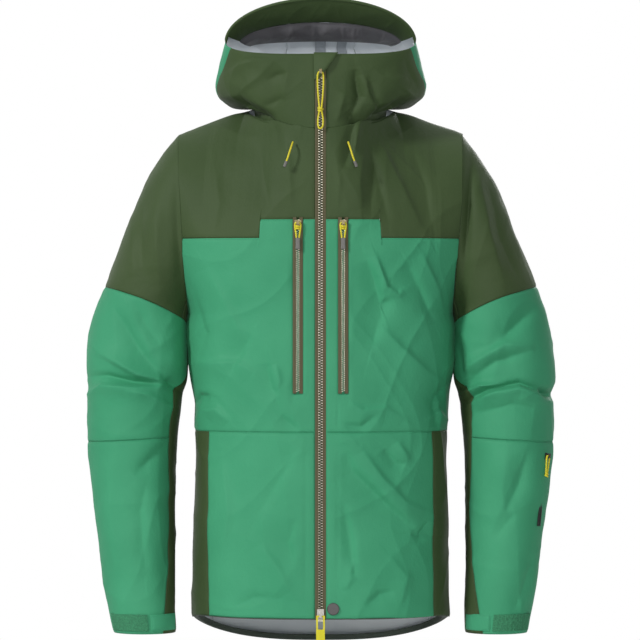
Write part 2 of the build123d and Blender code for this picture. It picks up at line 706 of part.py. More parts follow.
GRIP_WIDTH, GRIP_THICK, GRIP_TOP, GRIP_LONG = 6.6, 3.6, -21.0, 17.0
CHEST_HALF = [(1.5, -26.0), (2.3, -16.5), (3.9, -8.5), (LEG, 0.0)]
chest_zips = {"left": front_zip(CHEST_ZIP_X, CHEST_ZIP_FOOT_Z, CHEST_ZIP_TOP_Z, CHEST_ZIP_HALF),
              "right": front_zip(-CHEST_ZIP_X, CHEST_ZIP_FOOT_Z, CHEST_ZIP_TOP_Z, CHEST_ZIP_HALF)}
tapes, teeth = [], []
chest_eyes = {}
for side_name, line in chest_zips.items():
    tapes += [line.tape(1), line.tape(-1)]
    teeth += [line.teeth(1), line.teeth(-1)]
    slider, eye = line.slider(line.length - DOCK, SLIDER_WIDTH, SLIDER_TALL, LUG)
    chest_eyes[side_name] = eye
    parts["chest_slider_" + side_name] = slider
    cord = pull_cord(line, eye, CHEST_HALF)
    parts["chest_pull_cord_" + side_name] = cord
    grip = Box(GRIP_WIDTH, GRIP_LONG, GRIP_THICK)
    grip = fillet(grip.edges(), 1.2)
    grip = line.plane * Pos(0, eye[0] + GRIP_TOP - GRIP_LONG / 2, eye[1]) * grip
    parts["chest_pull_grip_" + side_name] = grip - cord
    channel = line.bar(-CHEST_ZIP_HALF, CHEST_ZIP_HALF, -SEWN_GAP, line.length + SEWN_GAP, -20, 20)
    parts["chest_panel_" + side_name] -= channel
    parts["front_yoke_" + side_name] -= channel
parts["chest_zip_tapes"] = Compound(children=tapes)
parts["chest_zip_teeth"] = Compound(children=teeth)

# ---- chest pockets ------------------------------------------------------------------------------
BAG_DEPTH, BAG_THICK = 13.0, 3.0
BAG_IN, BAG_OUT = 20.0, 88.0
bags = [strip(x_from, x_to, POCKET_SEAM_Z + 8, CHEST_ZIP_TOP_Z, -BAG_DEPTH - BAG_THICK, -BAG_DEPTH)
        for x_from, x_to in ((BAG_IN, BAG_OUT), (-BAG_OUT, -BAG_IN))]
parts["chest_pocket_bags"] = Compound(children=bags)

# ---- sleeve pocket zip (wearer's left) ----------------------------------------------------------
SLEEVE_ZIP_TURN = 35.0
SLEEVE_ZIP_RINGS = (8.4, 7.25)  # foot and head
SLEEVE_ZIP_HALF = 4.6
SLEEVE_SLIDER_WIDTH, SLEEVE_SLIDER_TALL = 7.4, 10.0


def sleeve_plane(ring_foot, ring_head, turn):
    """Work plane on the sleeve: origin at the lower ring, local y up the sleeve, z outwards."""
    foot, head = sleeve_point(ring_foot, turn), sleeve_point(ring_head, turn)
    round_it = sleeve_point(ring_foot, turn - 4) - sleeve_point(ring_foot, turn + 4)
    out = round_it.cross(head - foot)
    centre = (sleeve_point(ring_foot, 0) + sleeve_point(ring_foot, 180)) / 2
    if out.dot(foot - centre) < 0:
        out = -out
    return Plane(foot, x_dir=(head - foot).cross(out), z_dir=out), (head - foot).length


zip_plane, zip_length = sleeve_plane(*SLEEVE_ZIP_RINGS, SLEEVE_ZIP_TURN)
sleeve_zip = Zip(zip_plane, SLEEVE_ZIP_HALF, zip_length, 0.6)
parts["sleeve_zip"] = Compound(children=[piece(way) for piece in (sleeve_zip.tape, sleeve_zip.teeth)
                                         for way in (1, -1)])
slider, sleeve_eye = sleeve_zip.slider(
    zip_length - DOCK, SLEEVE_SLIDER_WIDTH, SLEEVE_SLIDER_TALL, (1.6, 1.9, 2.9)
)
parts["sleeve_slider"] = slider
SLEEVE_HALF = [(1.5, -29.0), (2.6, -18.0), (3.6, -8.5), (LEG - 0.2, 0.0)]
parts["sleeve_pull_cord"] = pull_cord(sleeve_zip, sleeve_eye, SLEEVE_HALF)
parts["forearm_left"] -= sleeve_zip.bar(
    -SLEEVE_ZIP_HALF, SLEEVE_ZIP_HALF, -SEWN_GAP, zip_length + SEWN_GAP, -20, 20
)

# ---- cuffs: loop patch and hook strap -----------------------------------------------------------
CUFF_BAND = (9.70, 9.95)  # rings between which the strap and its patch lie
PATCH_TURNS = (25.0, 100.0)
TAB_TURNS = (105.0, 165.0)
TAB_CLEAR = 0.6  # air between the strap and the cuff
PATCH_THICK = 1.2
PATCH_CLEAR = 1.0  # its stitched edge stands this far off the cuff's flat facets
STRAP_THICK = 2.0


def cuff_piece(turns, columns, depth, thick):
    """Band piece lying on the outside of the cuff."""
    grid_from, grid_to = CUFF_BAND

    def point(u, v):
        return sleeve_point(mix(grid_from, grid_to, v), mix(*turns, u))

    def middle(p):
        ring = min(CUFF_BAND, key=lambda r: abs(sleeve_point(r, 90).Z - p.Z))
        return (sleeve_point(ring, 0) + sleeve_point(ring, 180)) / 2

    return sheet(point, middle, columns, 1, depth, thick)


patch_left = cuff_piece(PATCH_TURNS, 5, -PATCH_THICK - PATCH_CLEAR, PATCH_THICK)
parts["cuff_loop_patches"] = Compound(children=[patch_left, other_side(patch_left)])
pair("cuff_tab", cuff_piece(TAB_TURNS, 5, -TAB_CLEAR - STRAP_THICK, STRAP_THICK))

# ---- chin flap, snap, hang loop -----------------------------------------------------------------
FLAP_THICK = 1.5
FLAP_OUTLINE = [(-3.5, 17.0), (4.0, 2.5), (21.0, 2.5), (21.0, 20.0), (-3.5, 20.0)]
flap_face = front_plane(0, MAIN_ZIP_TOP_Z, TEETH_THICK / 2)
parts["zip_garage"] = extrude(flap_face * make_face(Polyline(*FLAP_OUTLINE, close=True)), FLAP_THICK)

SNAP_X, SNAP_Z, SNAP_RADIUS, SNAP_TALL = 17.6, -692.0, 8.5, 2.6
cap = Cylinder(SNAP_RADIUS, SNAP_TALL, align=(Align.CENTER, Align.CENTER, Align.MIN))
cap = fillet(cap.edges().group_by(Axis.Z)[-1], 1.0)
parts["snap_cap"] = front_plane(SNAP_X, SNAP_Z, 0.1) * cap

LOOP_RADIUS = LOOP_WIDTH / 2
arch = Circle(LOOP_RADIUS) - Circle(LOOP_RADIUS - LOOP_THICK) - Pos(0, -LOOP_RADIUS) * Rectangle(
    2 * LOOP_RADIUS, 2 * LOOP_RADIUS)
leg = Pos(LOOP_RADIUS - LOOP_THICK / 2, -LOOP_DROP / 2) * Rectangle(LOOP_THICK, LOOP_DROP)
loop_profile = arch + leg + mirror(leg, about=Plane.YZ)
loop_plane = Plane(LOOP_TOP, x_dir=(1, 0, 0), z_dir=(0, -1, 0))
parts["hang_loop"] = extrude(loop_plane * Pos(0, LOOP_DROP) * loop_profile, LOOP_TAPE)

# ---- hood drawcord ends -------------------------------------------------------------------------
HOOD_CORD = 2.6
TIP_LONG, TIP_RADIUS = 9.0, 2.2
HOOD_CORD_ROUTE = [(38.5, -129.0, -44.5), (40.0, -136.0, -49.5), (42.5, -138.6, -57.0),
                   (44.8, -139.0, -65.0), (47.8, -138.6, -73.0)]
left_cord = tube(HOOD_CORD_ROUTE, HOOD_CORD, 1.5 * HOOD_CORD)
pair("hood_cord", left_cord)
tip_way = Vector(HOOD_CORD_ROUTE[-1]) - Vector(HOOD_CORD_ROUTE[-2])
tip = Plane(HOOD_CORD_ROUTE[-1], z_dir=tip_way) * Cylinder(
    TIP_RADIUS, TIP_LONG, align=(Align.CENTER, Align.CENTER, Align.MIN))
parts["hood_cord_tips"] = Compound(children=[tip, other_side(tip)])

# ---- into the frame of the hang loop, and out ---------------------------------------------------
PEG = Vector(0, LOOP_TOP.Y - LOOP_TAPE / 2, LOOP_TOP.Z + LOOP_DROP + LOOP_RADIUS - LOOP_THICK)
os.makedirs("parts", exist_ok=True)
for name, shape in parts.items():
    export_step(Pos(*-PEG) * shape, f"parts/{name}.step")
print(len(parts), "nodes, origin at", PEG)
for label, line, eye in (("main", main_zip, main_eye), ("bottom", main_zip, bottom_eye),
                         ("sleeve", sleeve_zip, sleeve_eye),
                         *((k, chest_zips[k], e) for k, e in chest_eyes.items())):
    print("eye", label, tuple(line.spot(0, *eye) - PEG), "up", tuple(line.plane.y_dir),
          "across", tuple(line.plane.x_dir))
sewn = [sleeve_point(r, TAB_TURNS[1]) for r in CUFF_BAND]
print("strap's sewn end", *[tuple(p - PEG) for p in sewn])
print("hood fold", tuple(collar_back_top(1) - PEG))
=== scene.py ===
# %% [markdown]
# # A hooded shell jacket
#
# A shell jacket is flat cloth, cut into panels and sewn into a shape. This lesson builds each panel
# as one surface of two parameters, sews neighbours along shared edges, presses folds into them, and
# then adds the zips, cords and fastenings that make it a jacket and not a bag.

import bpy
import numpy as np
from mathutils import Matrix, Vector


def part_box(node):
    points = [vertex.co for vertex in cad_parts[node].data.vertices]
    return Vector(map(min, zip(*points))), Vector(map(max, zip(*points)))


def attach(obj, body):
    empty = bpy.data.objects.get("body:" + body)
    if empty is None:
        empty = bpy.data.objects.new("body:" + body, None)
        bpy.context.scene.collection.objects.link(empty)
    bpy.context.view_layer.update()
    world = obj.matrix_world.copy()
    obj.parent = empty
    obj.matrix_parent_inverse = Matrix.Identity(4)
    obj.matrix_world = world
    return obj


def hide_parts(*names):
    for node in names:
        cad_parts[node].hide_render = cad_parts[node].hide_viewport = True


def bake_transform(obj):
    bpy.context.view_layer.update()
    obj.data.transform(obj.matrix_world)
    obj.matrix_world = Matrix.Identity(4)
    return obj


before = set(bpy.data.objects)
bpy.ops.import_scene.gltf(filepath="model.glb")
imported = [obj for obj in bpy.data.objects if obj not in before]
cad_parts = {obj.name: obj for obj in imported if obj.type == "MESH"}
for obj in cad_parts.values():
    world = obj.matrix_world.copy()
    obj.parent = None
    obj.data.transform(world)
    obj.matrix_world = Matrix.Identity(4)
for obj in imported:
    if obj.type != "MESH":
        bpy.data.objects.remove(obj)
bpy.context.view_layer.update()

# %% [markdown]
# The design's origin is where the hang loop bears on its peg. A pattern maker measures from the
# middle of the neck instead, in millimetres, so every surface below is worked out there and moved
# once, when its mesh is made. The heights come from the frame's own panels.

# %% Garment frame
NECK = np.array([0.0, -62.0, -35.4])  # middle of the neck, seen from the peg
MM = 0.001


def height(node, corner):
    """Lowest (0) or highest (1) level of a frame node, in garment millimetres."""
    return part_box(node)[corner][2] / MM - NECK[2]


HEM_Z = height("front_panel_left", 0)
POCKET_Z = height("front_panel_left", 1)
YOKE_Z = height("chest_panel_left", 1)
COLLAR_Z = 79.0
FRONT_Y, FRONT_LEAN = -125.0, 0.038  # front line at the collar's top, and how it comes forward
GAP = 7.0  # half the gap between the two front edges
NECK_FRONT_Z = -25.0
print("hem", round(HEM_Z), "pocket seam", round(POCKET_Z), "yoke seam", round(YOKE_Z))

# %% [markdown]
# ## Surfaces
#
# A body laid flat is wide and shallow, so its level section is a squared-off circle: sine and
# cosine are each raised to the same power below one. A few named stations give the half-width and
# the back's distance, and a smooth curve runs through them.

# %% Body section
SQUARE = 0.75


def smooth(knots, values, at):
    """Cubic curve through stations: each slope is taken from the stations on both sides."""
    knots, values = np.asarray(knots, float), np.asarray(values, float)
    slopes = np.gradient(values, knots, axis=0)
    at = np.clip(at, knots[0], knots[-1])
    i = np.clip(np.searchsorted(knots, at, side="right") - 1, 0, len(knots) - 2)
    step = knots[i + 1] - knots[i]
    t = (at - knots[i]) / step
    a, b = (1 + 2 * t) * (1 - t) ** 2, t * (1 - t) ** 2
    c, d = t * t * (3 - 2 * t), t * t * (t - 1)
    return a * values[i] + b * step * slopes[i] + c * values[i + 1] + d * step * slopes[i + 1]


def soft(value):
    """Signed power that squares off a circle."""
    return np.sign(value) * np.abs(value) ** SQUARE


def unsoft(value):
    """Inverse of soft for values from 0 to 1."""
    return np.clip(np.abs(value), 0, 1) ** (1 / SQUARE)


def front_y(z):
    """The straight leaning line that the zip follows."""
    return FRONT_Y - (COLLAR_Z - z) * FRONT_LEAN


def half_width(z):
    """Half the body's width at a height."""
    return smooth([-790, -706, -600, -480, -430, -300, -250],
                  [181.5, 181, 179.5, 177, 178, 185.5, 189], z)


def back_y(z):
    """Distance of the back from the middle at a height."""
    return smooth([-790, -600, -450, -282, -178, -120], [119, 114, 110, 118, 122, 121], z)


def point(x, y, z):
    """Stacks three arrays of any matching shapes into points."""
    return np.stack(np.broadcast_arrays(x, y, z), axis=-1).astype(float)


def body(z, turn):
    """Body below the arms; turn is in degrees from the centre front towards the wearer's left."""
    s, c = soft(np.sin(np.radians(turn))), soft(np.cos(np.radians(turn)))
    reach = np.where(c > 0, -front_y(z), back_y(z))
    return point(half_width(z) * s, -reach * c, z)


def turn_at(z, x):
    """Turn at which the body's front has this x."""
    return np.degrees(np.arcsin(unsoft(x / half_width(z))))


# %% [markdown]
# The sleeve is a row of rings. Each ring runs from an outer point to an inner point, with its own
# depth, and the first ring is the armhole itself, so the sleeve starts exactly where the body
# stops. The rings fan out from the underarm, as a real sleeve's cloth does when the arm hangs.

# %% Sleeve rings
RINGS = np.array([
    [202, -28, 187, -282, 85, 0], [250, -98, 187.6, -286, 84, 0], [282, -178, 188.2, -292, 82, 0],
    [307, -245, 188.6, -300, 80, -2], [324, -292, 188.6, -340, 77, -5], [333, -350, 190, -376, 74, -8],
    [330, -400, 197, -402, 71, -12], [331, -457, 202, -450, 68, -18], [322, -545, 206, -545, 60, -28],
    [310, -640, 206, -640, 52, -36], [293, -733, 204, -733, 44, -44],
], float)
CUFF = len(RINGS) - 1
OLIVE_RING, ELBOW_RING = 3, 7
UNDER = (150.0, 215.0)  # turns between which the olive under-sleeve strip lies


def ring_at(ring):
    """The six measures of a ring, at any place along the sleeve."""
    return [smooth(np.arange(CUFF + 1), RINGS[:, k], ring) for k in range(6)]


def sleeve(ring, turn):
    """Left sleeve's surface; turn is in degrees from its outer line towards the front."""
    ox, oz, ix, iz, half, y = ring_at(ring)
    c, s = np.cos(np.radians(turn)), np.sin(np.radians(turn))
    return point((ox + ix) / 2 + (ox - ix) / 2 * c, y - half * s, (oz + iz) / 2 + (oz - iz) / 2 * c)


def sleeve_middle(ring):
    """Middle of a sleeve ring."""
    ox, oz, ix, iz, half, y = ring_at(ring)
    return point((ox + ix) / 2, y, (oz + iz) / 2)


def edge(z, way):
    """Side seam up to the underarm, then the armhole's front (-1) or back (1) edge, as x and y."""
    top, foot = RINGS[0, 1], RINGS[0, 3]
    c = np.clip((z - (top + foot) / 2) / ((top - foot) / 2), -1, 1)
    x = (RINGS[0, 0] + RINGS[0, 2]) / 2 + (RINGS[0, 0] - RINGS[0, 2]) / 2 * c
    y = way * RINGS[0, 4] * np.sqrt(1 - c * c)
    return np.where(z < foot, half_width(z), x), np.where(z < foot, 0, y)


def wide_row(z, way, share, start_x=0.0):
    """Level row over the chest or back: share 0 is at start_x, 1 at the side seam or armhole."""
    reach = front_y(z) if way < 0 else back_y(z)
    x, y = edge(z, way)
    end = np.arccos(unsoft(y / reach))
    closing = x / soft(np.sin(end))
    start = np.arcsin(unsoft(start_x / closing))
    turn = start + (end - start) * share
    return point(closing * soft(np.sin(turn)), reach * soft(np.cos(turn)), z)


print("sleeve's cuff is", round(RINGS[-1, 0] - RINGS[-1, 2]), "mm wide")

# %% [markdown]
# The shoulders need a surface that is bounded by four seams: the chest seam below, the zip and the
# armhole at the sides, and the neck and shoulder seams on top. A Coons patch is made for this: it
# adds the two ruled surfaces between opposite seams and takes away the one between the corners.

# %% Seams of the shoulders, collar and hood
NECK_SIDE, NECK_BACK = np.array([105.0, 5, 10]), np.array([0.0, 72, 16])
SHOULDER_TIP = np.array([RINGS[0, 0], 0.0, RINGS[0, 1]])
HOOD_CORNER = np.array([134.0, -64, 99])
HOOD_TOP, RIM_Y, SEAM_HALF = 158.0, -104.0, 48.0
NAPE_Y, NAPE_Z = 106.0, 45.0
CROWN = np.array([SEAM_HALF, 84, 103])
MIRROR = np.array([-1.0, 1, 1])


def mix(a, b, t):
    """Straight blend between two places, for an array of shares."""
    return np.asarray(a) + (np.asarray(b) - np.asarray(a)) * np.asarray(t, float)[..., None]


def bend(a, corner, b, t):
    """Quadratic curve that leaves a and reaches b along the lines to their corner."""
    t = np.asarray(t, float)[..., None]
    return np.asarray(a) * (1 - t) ** 2 + np.asarray(corner) * 2 * t * (1 - t) + np.asarray(b) * t * t


def coons(low, high, near, far):
    """Surface between four seams that share their corners."""

    def surface(u, v):
        u, v = np.broadcast_arrays(u, v)
        a, b = u[..., None], v[..., None]
        ends = [seam(np.array(t)) for seam in (low, high) for t in (0.0, 1.0)]
        corners = (ends[0] * (1 - a) + ends[1] * a) * (1 - b) + (ends[2] * (1 - a) + ends[3] * a) * b
        return low(u) * (1 - b) + high(u) * b + near(v) * (1 - a) + far(v) * a - corners

    return surface


def neck(turn):
    """Neck seam; turn is in degrees from the front middle."""
    c, s = np.cos(np.radians(turn)), np.sin(np.radians(turn))
    end_y = np.where(c > 0, front_y(NECK_FRONT_Z), NECK_BACK[1])
    end_z = np.where(c > 0, NECK_FRONT_Z, NECK_BACK[2])
    return point(NECK_SIDE[0] * s, NECK_SIDE[1] + (end_y - NECK_SIDE[1]) * np.abs(c),
                 NECK_SIDE[2] + (end_z - NECK_SIDE[2]) * c * c)


NECK_START = float(np.degrees(np.arcsin(GAP / NECK_SIDE[0])))


def yoke_top(start):
    """Neck seam for the first half of the seam, then the shoulder seam."""

    def seam(t):
        t = np.asarray(t, float)
        on_neck = neck(start + (90 - start) * np.clip(2 * t, 0, 1))
        return np.where((t <= 0.5)[..., None], on_neck, mix(NECK_SIDE, SHOULDER_TIP, 2 * t - 1))

    return seam


def armhole_rise(way):
    """Armhole from the yoke seam up to the shoulder tip."""
    top, foot = RINGS[0, 1], RINGS[0, 3]
    start = np.degrees(np.arccos((YOKE_Z - (top + foot) / 2) / ((top - foot) / 2)))
    return lambda t: sleeve(np.zeros_like(np.asarray(t, float)), -way * start * (1 - np.asarray(t)))


def back_middle(t):
    """Centre line of the back yoke, curving in to the neck."""
    low = wide_row(np.array(YOKE_Z), 1, np.array(0.0))
    return bend(low, [0, low[1], NECK_BACK[2] - 30], NECK_BACK, t)


def eased(high):
    """Seam with its corner rounded off: the mean of places up to 0.3 of its length to each side."""

    def seam(t):
        t = np.asarray(t, float)
        reach = np.minimum(0.3, np.minimum(t, 1 - t))
        return sum(high(t + k * reach) for k in np.linspace(-1, 1, 9)) / 9

    return seam


def yoke_patch(low, high, near, far):
    """Yoke surface; the corner in its top seam fades with the sixth power of the height up the yoke."""
    soft = eased(high)
    whole = coons(low, soft, near, far)

    def surface(u, v):
        u, v = np.broadcast_arrays(u, v)
        return whole(u, v) + (high(u) - soft(u)) * v[..., None] ** 6

    return surface


front_yoke = yoke_patch(
    lambda t: wide_row(np.full_like(t, YOKE_Z, float), -1, t, GAP), yoke_top(NECK_START),
    lambda t: mix(wide_row(np.array(YOKE_Z), -1, np.array(0.0), GAP), neck(np.array(NECK_START)), t),
    armhole_rise(-1))
back_yoke = yoke_patch(
    lambda t: wide_row(np.full_like(t, YOKE_Z, float), 1, t), yoke_top(180.0), back_middle,
    armhole_rise(1))

COLLAR_START = np.array([GAP, front_y(COLLAR_Z), COLLAR_Z])


def fold_line(t):
    """Where the hood leaves the collar, from the hood's corner round to the middle of the nape."""
    return bend(HOOD_CORNER, [HOOD_CORNER[0] + 31, NAPE_Y, NAPE_Z], [0, NAPE_Y, NAPE_Z], t)


def collar_side(t):
    """Puffed side of the collar, from the neck seam out over the shoulder and up."""
    return bend(NECK_SIDE, [165, -10, 2], HOOD_CORNER, t)


collar_front = coons(
    lambda t: neck(NECK_START + (90 - NECK_START) * t),
    lambda t: bend(COLLAR_START, [HOOD_CORNER[0], COLLAR_START[1], COLLAR_Z - 3], HOOD_CORNER, t),
    lambda t: mix(neck(np.array(NECK_START)), COLLAR_START, t), collar_side)
collar_rear = coons(
    lambda t: neck(90 + 90 * t), fold_line, collar_side,
    lambda t: bend(NECK_BACK, [0, NAPE_Y, NECK_BACK[2] + 6], fold_line(np.array(1.0)), t))

SEAM_TURN = float(np.degrees(np.arccos(SEAM_HALF / HOOD_CORNER[0])))
SEAM_SHARE = 0.84


def rim(turn):
    """Edge of the hood's opening, from its left corner over the top to the right one."""
    c, s = np.cos(np.radians(turn)), np.sin(np.radians(turn))
    return point(HOOD_CORNER[0] * c, HOOD_CORNER[1] + (RIM_Y - HOOD_CORNER[1]) * s,
                 HOOD_CORNER[2] + (HOOD_TOP - HOOD_CORNER[2]) * s)


def crown_seam(t):
    """Seam over the crown from the rim to where the hood turns down."""
    return bend(rim(np.array(SEAM_TURN)), [SEAM_HALF + 12, 0, HOOD_TOP - 14], CROWN, t)


def nape_seam(t):
    """Seam up the back of the hood."""
    return bend(fold_line(np.array(SEAM_SHARE)), [SEAM_HALF + 10, NAPE_Y + 8, 80], CROWN, t)


def centre_edge(t):
    """Edge of the hood's centre panel: over the crown, then down the nape."""
    t = np.asarray(t, float)
    crown, nape = crown_seam(np.clip(2 * t, 0, 1)), nape_seam(np.clip(2 - 2 * t, 0, 1))
    return np.where((t <= 0.5)[..., None], crown, nape)


def nape_row(t):
    """Foot of the centre panel, from the left seam to the right one."""
    p = fold_line(SEAM_SHARE + (1 - SEAM_SHARE) * (1 - np.abs(2 * t - 1)))
    return p * np.where((t <= 0.5)[..., None], 1.0, MIRROR)


hood_side = coons(lambda t: rim(SEAM_TURN * t), nape_seam, lambda t: fold_line(SEAM_SHARE * t), crown_seam)
hood_centre = coons(lambda t: rim(SEAM_TURN + (180 - 2 * SEAM_TURN) * t), nape_row, centre_edge,
                    lambda t: centre_edge(t) * MIRROR)
print("shoulder tip at", SHOULDER_TIP)

# %% [markdown]
# ## From surface to cloth
#
# Folds have to cross seams without a gap, so they may not depend on a panel's own grid. Each point
# is moved along a direction that depends only on where the point is: away from the garment's middle
# line. Two panels that share a seam then move it by the same amount.

# %% Directions and mesh making


def unit(v):
    """Vectors of length one."""
    return v / np.linalg.norm(v, axis=-1, keepdims=True)


def from_body(p):
    """Direction away from the body's middle."""
    return unit(p - point(0.6 * p[..., 0], 0, np.minimum(p[..., 2], -120.0)))


def from_neck(p):
    """Direction away from the neck's upright line."""
    return unit(p - point(0, -10, p[..., 2]))


def from_hood(p):
    """Direction away from the hood's middle."""
    return unit(p - point(0.3 * p[..., 0], -10, 55))


def grid(columns, rows):
    """The two parameters of a surface, from 0 to 1."""
    return np.meshgrid(np.linspace(0, 1, columns + 1), np.linspace(0, 1, rows + 1))


def lengths(p, axis):
    """Distance run along one direction of a grid of points."""
    step = np.linalg.norm(np.diff(p, axis=axis), axis=-1)
    return np.insert(np.cumsum(step, axis=axis), 0, 0, axis=axis)


def mesh_object(name, points, faces, uvs=None, materials=(), slots=None):
    """Object whose mesh has its place in it; points are garment millimetres."""
    mesh = bpy.data.meshes.new(name)
    mesh.from_pydata(((points.reshape(-1, 3) + NECK) * MM), [], faces)
    for key, value in (uvs or {}).items():
        layer = mesh.uv_layers.new(name=key)
        index = np.zeros(len(mesh.loops), np.int32)
        mesh.loops.foreach_get("vertex_index", index)
        layer.data.foreach_set("uv", value.reshape(-1, 2)[index].astype(np.float32).ravel())
    for material in materials:
        mesh.materials.append(material)
    if slots is not None:
        mesh.polygons.foreach_set("material_index", slots)
    mesh.polygons.foreach_set("use_smooth", np.ones(len(mesh.polygons), bool))
    mesh.update()
    piece = bpy.data.objects.new(name, mesh)
    bpy.context.scene.collection.objects.link(piece)
    return piece


def grid_faces(rows, columns, wrap=False):
    """Quads of a grid of points with rows and columns of points; wrap closes the columns."""
    number = np.arange(rows * columns).reshape(rows, columns)
    right = np.roll(number, -1, axis=1) if wrap else number[:, 1:]
    left = number if wrap else number[:, :-1]
    return np.stack([left[:-1], right[:-1], right[1:], left[1:]], axis=-1).reshape(-1, 4)


def facing_out(p, away, faces):
    """Turns every face round if most of them look towards the middle."""
    q = p.reshape(-1, 3)[faces]
    look = np.cross(q[:, 2] - q[:, 0], q[:, 3] - q[:, 1])
    outward = (look * away.reshape(-1, 3)[faces[:, 0]]).sum()
    return faces if outward > 0 else faces[:, ::-1]


CLOTH = 1.0  # thickness of the laminate with its backing
SEAM_DIP, SEAM_WIDE = 1.1, 2.6  # a sewn seam pulls the cloth in by this much, over this width


def seam_distance(p, sewn):
    """Distance to the nearest sewn edge and the run along it; sewn names low, high, near, far."""
    u, v = lengths(p, 1), lengths(p, 0)
    ways = {"low": (v, u), "high": (v[-1:] - v, u), "near": (u, v), "far": (u[:, -1:] - u, v)}
    near, along = np.full(p.shape[:2], 60.0), np.zeros(p.shape[:2])
    for name in sewn:
        off, run = ways[name]
        along = np.where(off < near, run, along)
        near = np.minimum(near, off)
    return near, along


def panel(name, ride, nodes, slot, surface, size, away, press, materials, sewn="low high near far",
          side=1, thick=CLOTH):
    """One cut panel: the surface on a grid, pressed by folds and seams, and given its thickness.

    press(p, away) gives how far each point stands out of the plain surface. materials are the outer
    face's and the inner face's. side is -1 for the wearer's right piece, which is a mirror image
    of the plain surface with its own folds.
    """
    u, v = grid(*size)
    p = surface(u, v) * (1.0 if side > 0 else MIRROR)
    out = away(p)
    near, along = seam_distance(p, sewn.split())
    dip = SEAM_DIP * np.exp(-((near / SEAM_WIDE) ** 2))
    moved = p + out * (press(p, out) - dip)[..., None]
    uv = np.stack([lengths(p, 1), lengths(p, 0)], axis=-1) * MM
    stitch = np.stack([near, along], axis=-1) * MM
    faces = facing_out(moved, out, grid_faces(*p.shape[:2]))
    piece = mesh_object(name, moved, faces, {"cloth": uv, "stitch": stitch}, materials)
    wall = piece.modifiers.new("thickness", "SOLIDIFY")
    wall.thickness, wall.offset = thick * MM, -1
    wall.material_offset = len(materials) - 1
    if ride:
        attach(piece, ride)
    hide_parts(*nodes)
    return piece

# %% [markdown]
# ## Finishes
#
# The shell is a three-layer laminate: a plain-woven nylon face with a water-repellent finish, a
# membrane, and a thin knit backing. The face is matt with a faint sheen at grazing angles, and the
# stiff membrane crinkles it into shallow facets a few millimetres across. The weave is a third of a
# millimetre and too fine to show, so it is drawn at one millimetre.

# %% Colours and one way to add a shader node


def linear(code):
    """Scene-linear colour from an sRGB hex code."""
    c = np.array([int(code[i:i + 2], 16) for i in (1, 3, 5)]) / 255
    return (*np.where(c <= 0.04045, c / 12.92, ((c + 0.055) / 1.055) ** 2.4), 1.0)


def add(tree, kind, links=None, **settings):
    """Adds one shader node: links gives an input another node's output, settings gives it a value."""
    made = tree.nodes.new(kind)
    for key, value in settings.items():
        name = key.replace("_", " ")
        socket = next((s for s in made.inputs if s.name.lower() == name.lower()), None)
        if hasattr(made, key) and socket is None:
            setattr(made, key, value)
        else:
            socket.default_value = value
    for key, source in (links or {}).items():
        tree.links.new(source, made.inputs[key])
    return made


def fresh(name):
    """Empty material with its shader and output."""
    material = bpy.data.materials.new(name)
    material.use_nodes = True
    tree = material.node_tree
    tree.nodes.clear()
    shader = add(tree, "ShaderNodeBsdfPrincipled")
    add(tree, "ShaderNodeOutputMaterial", {"Surface": shader.outputs[0]})
    return material, tree, shader


def ramp(tree, source, low, high, low_at=0.0, high_at=1.0):
    """Colour that blends from low to high while its source runs from low_at to high_at."""
    made = add(tree, "ShaderNodeValToRGB", {"Fac": source})
    made.color_ramp.elements[0].position, made.color_ramp.elements[1].position = low_at, high_at
    made.color_ramp.elements[0].color, made.color_ramp.elements[1].color = low, high
    return made


STITCH_IN, STITCH_LONG = 0.0019, 0.0026  # metres from a sewn edge to its stitches, and one stitch's length


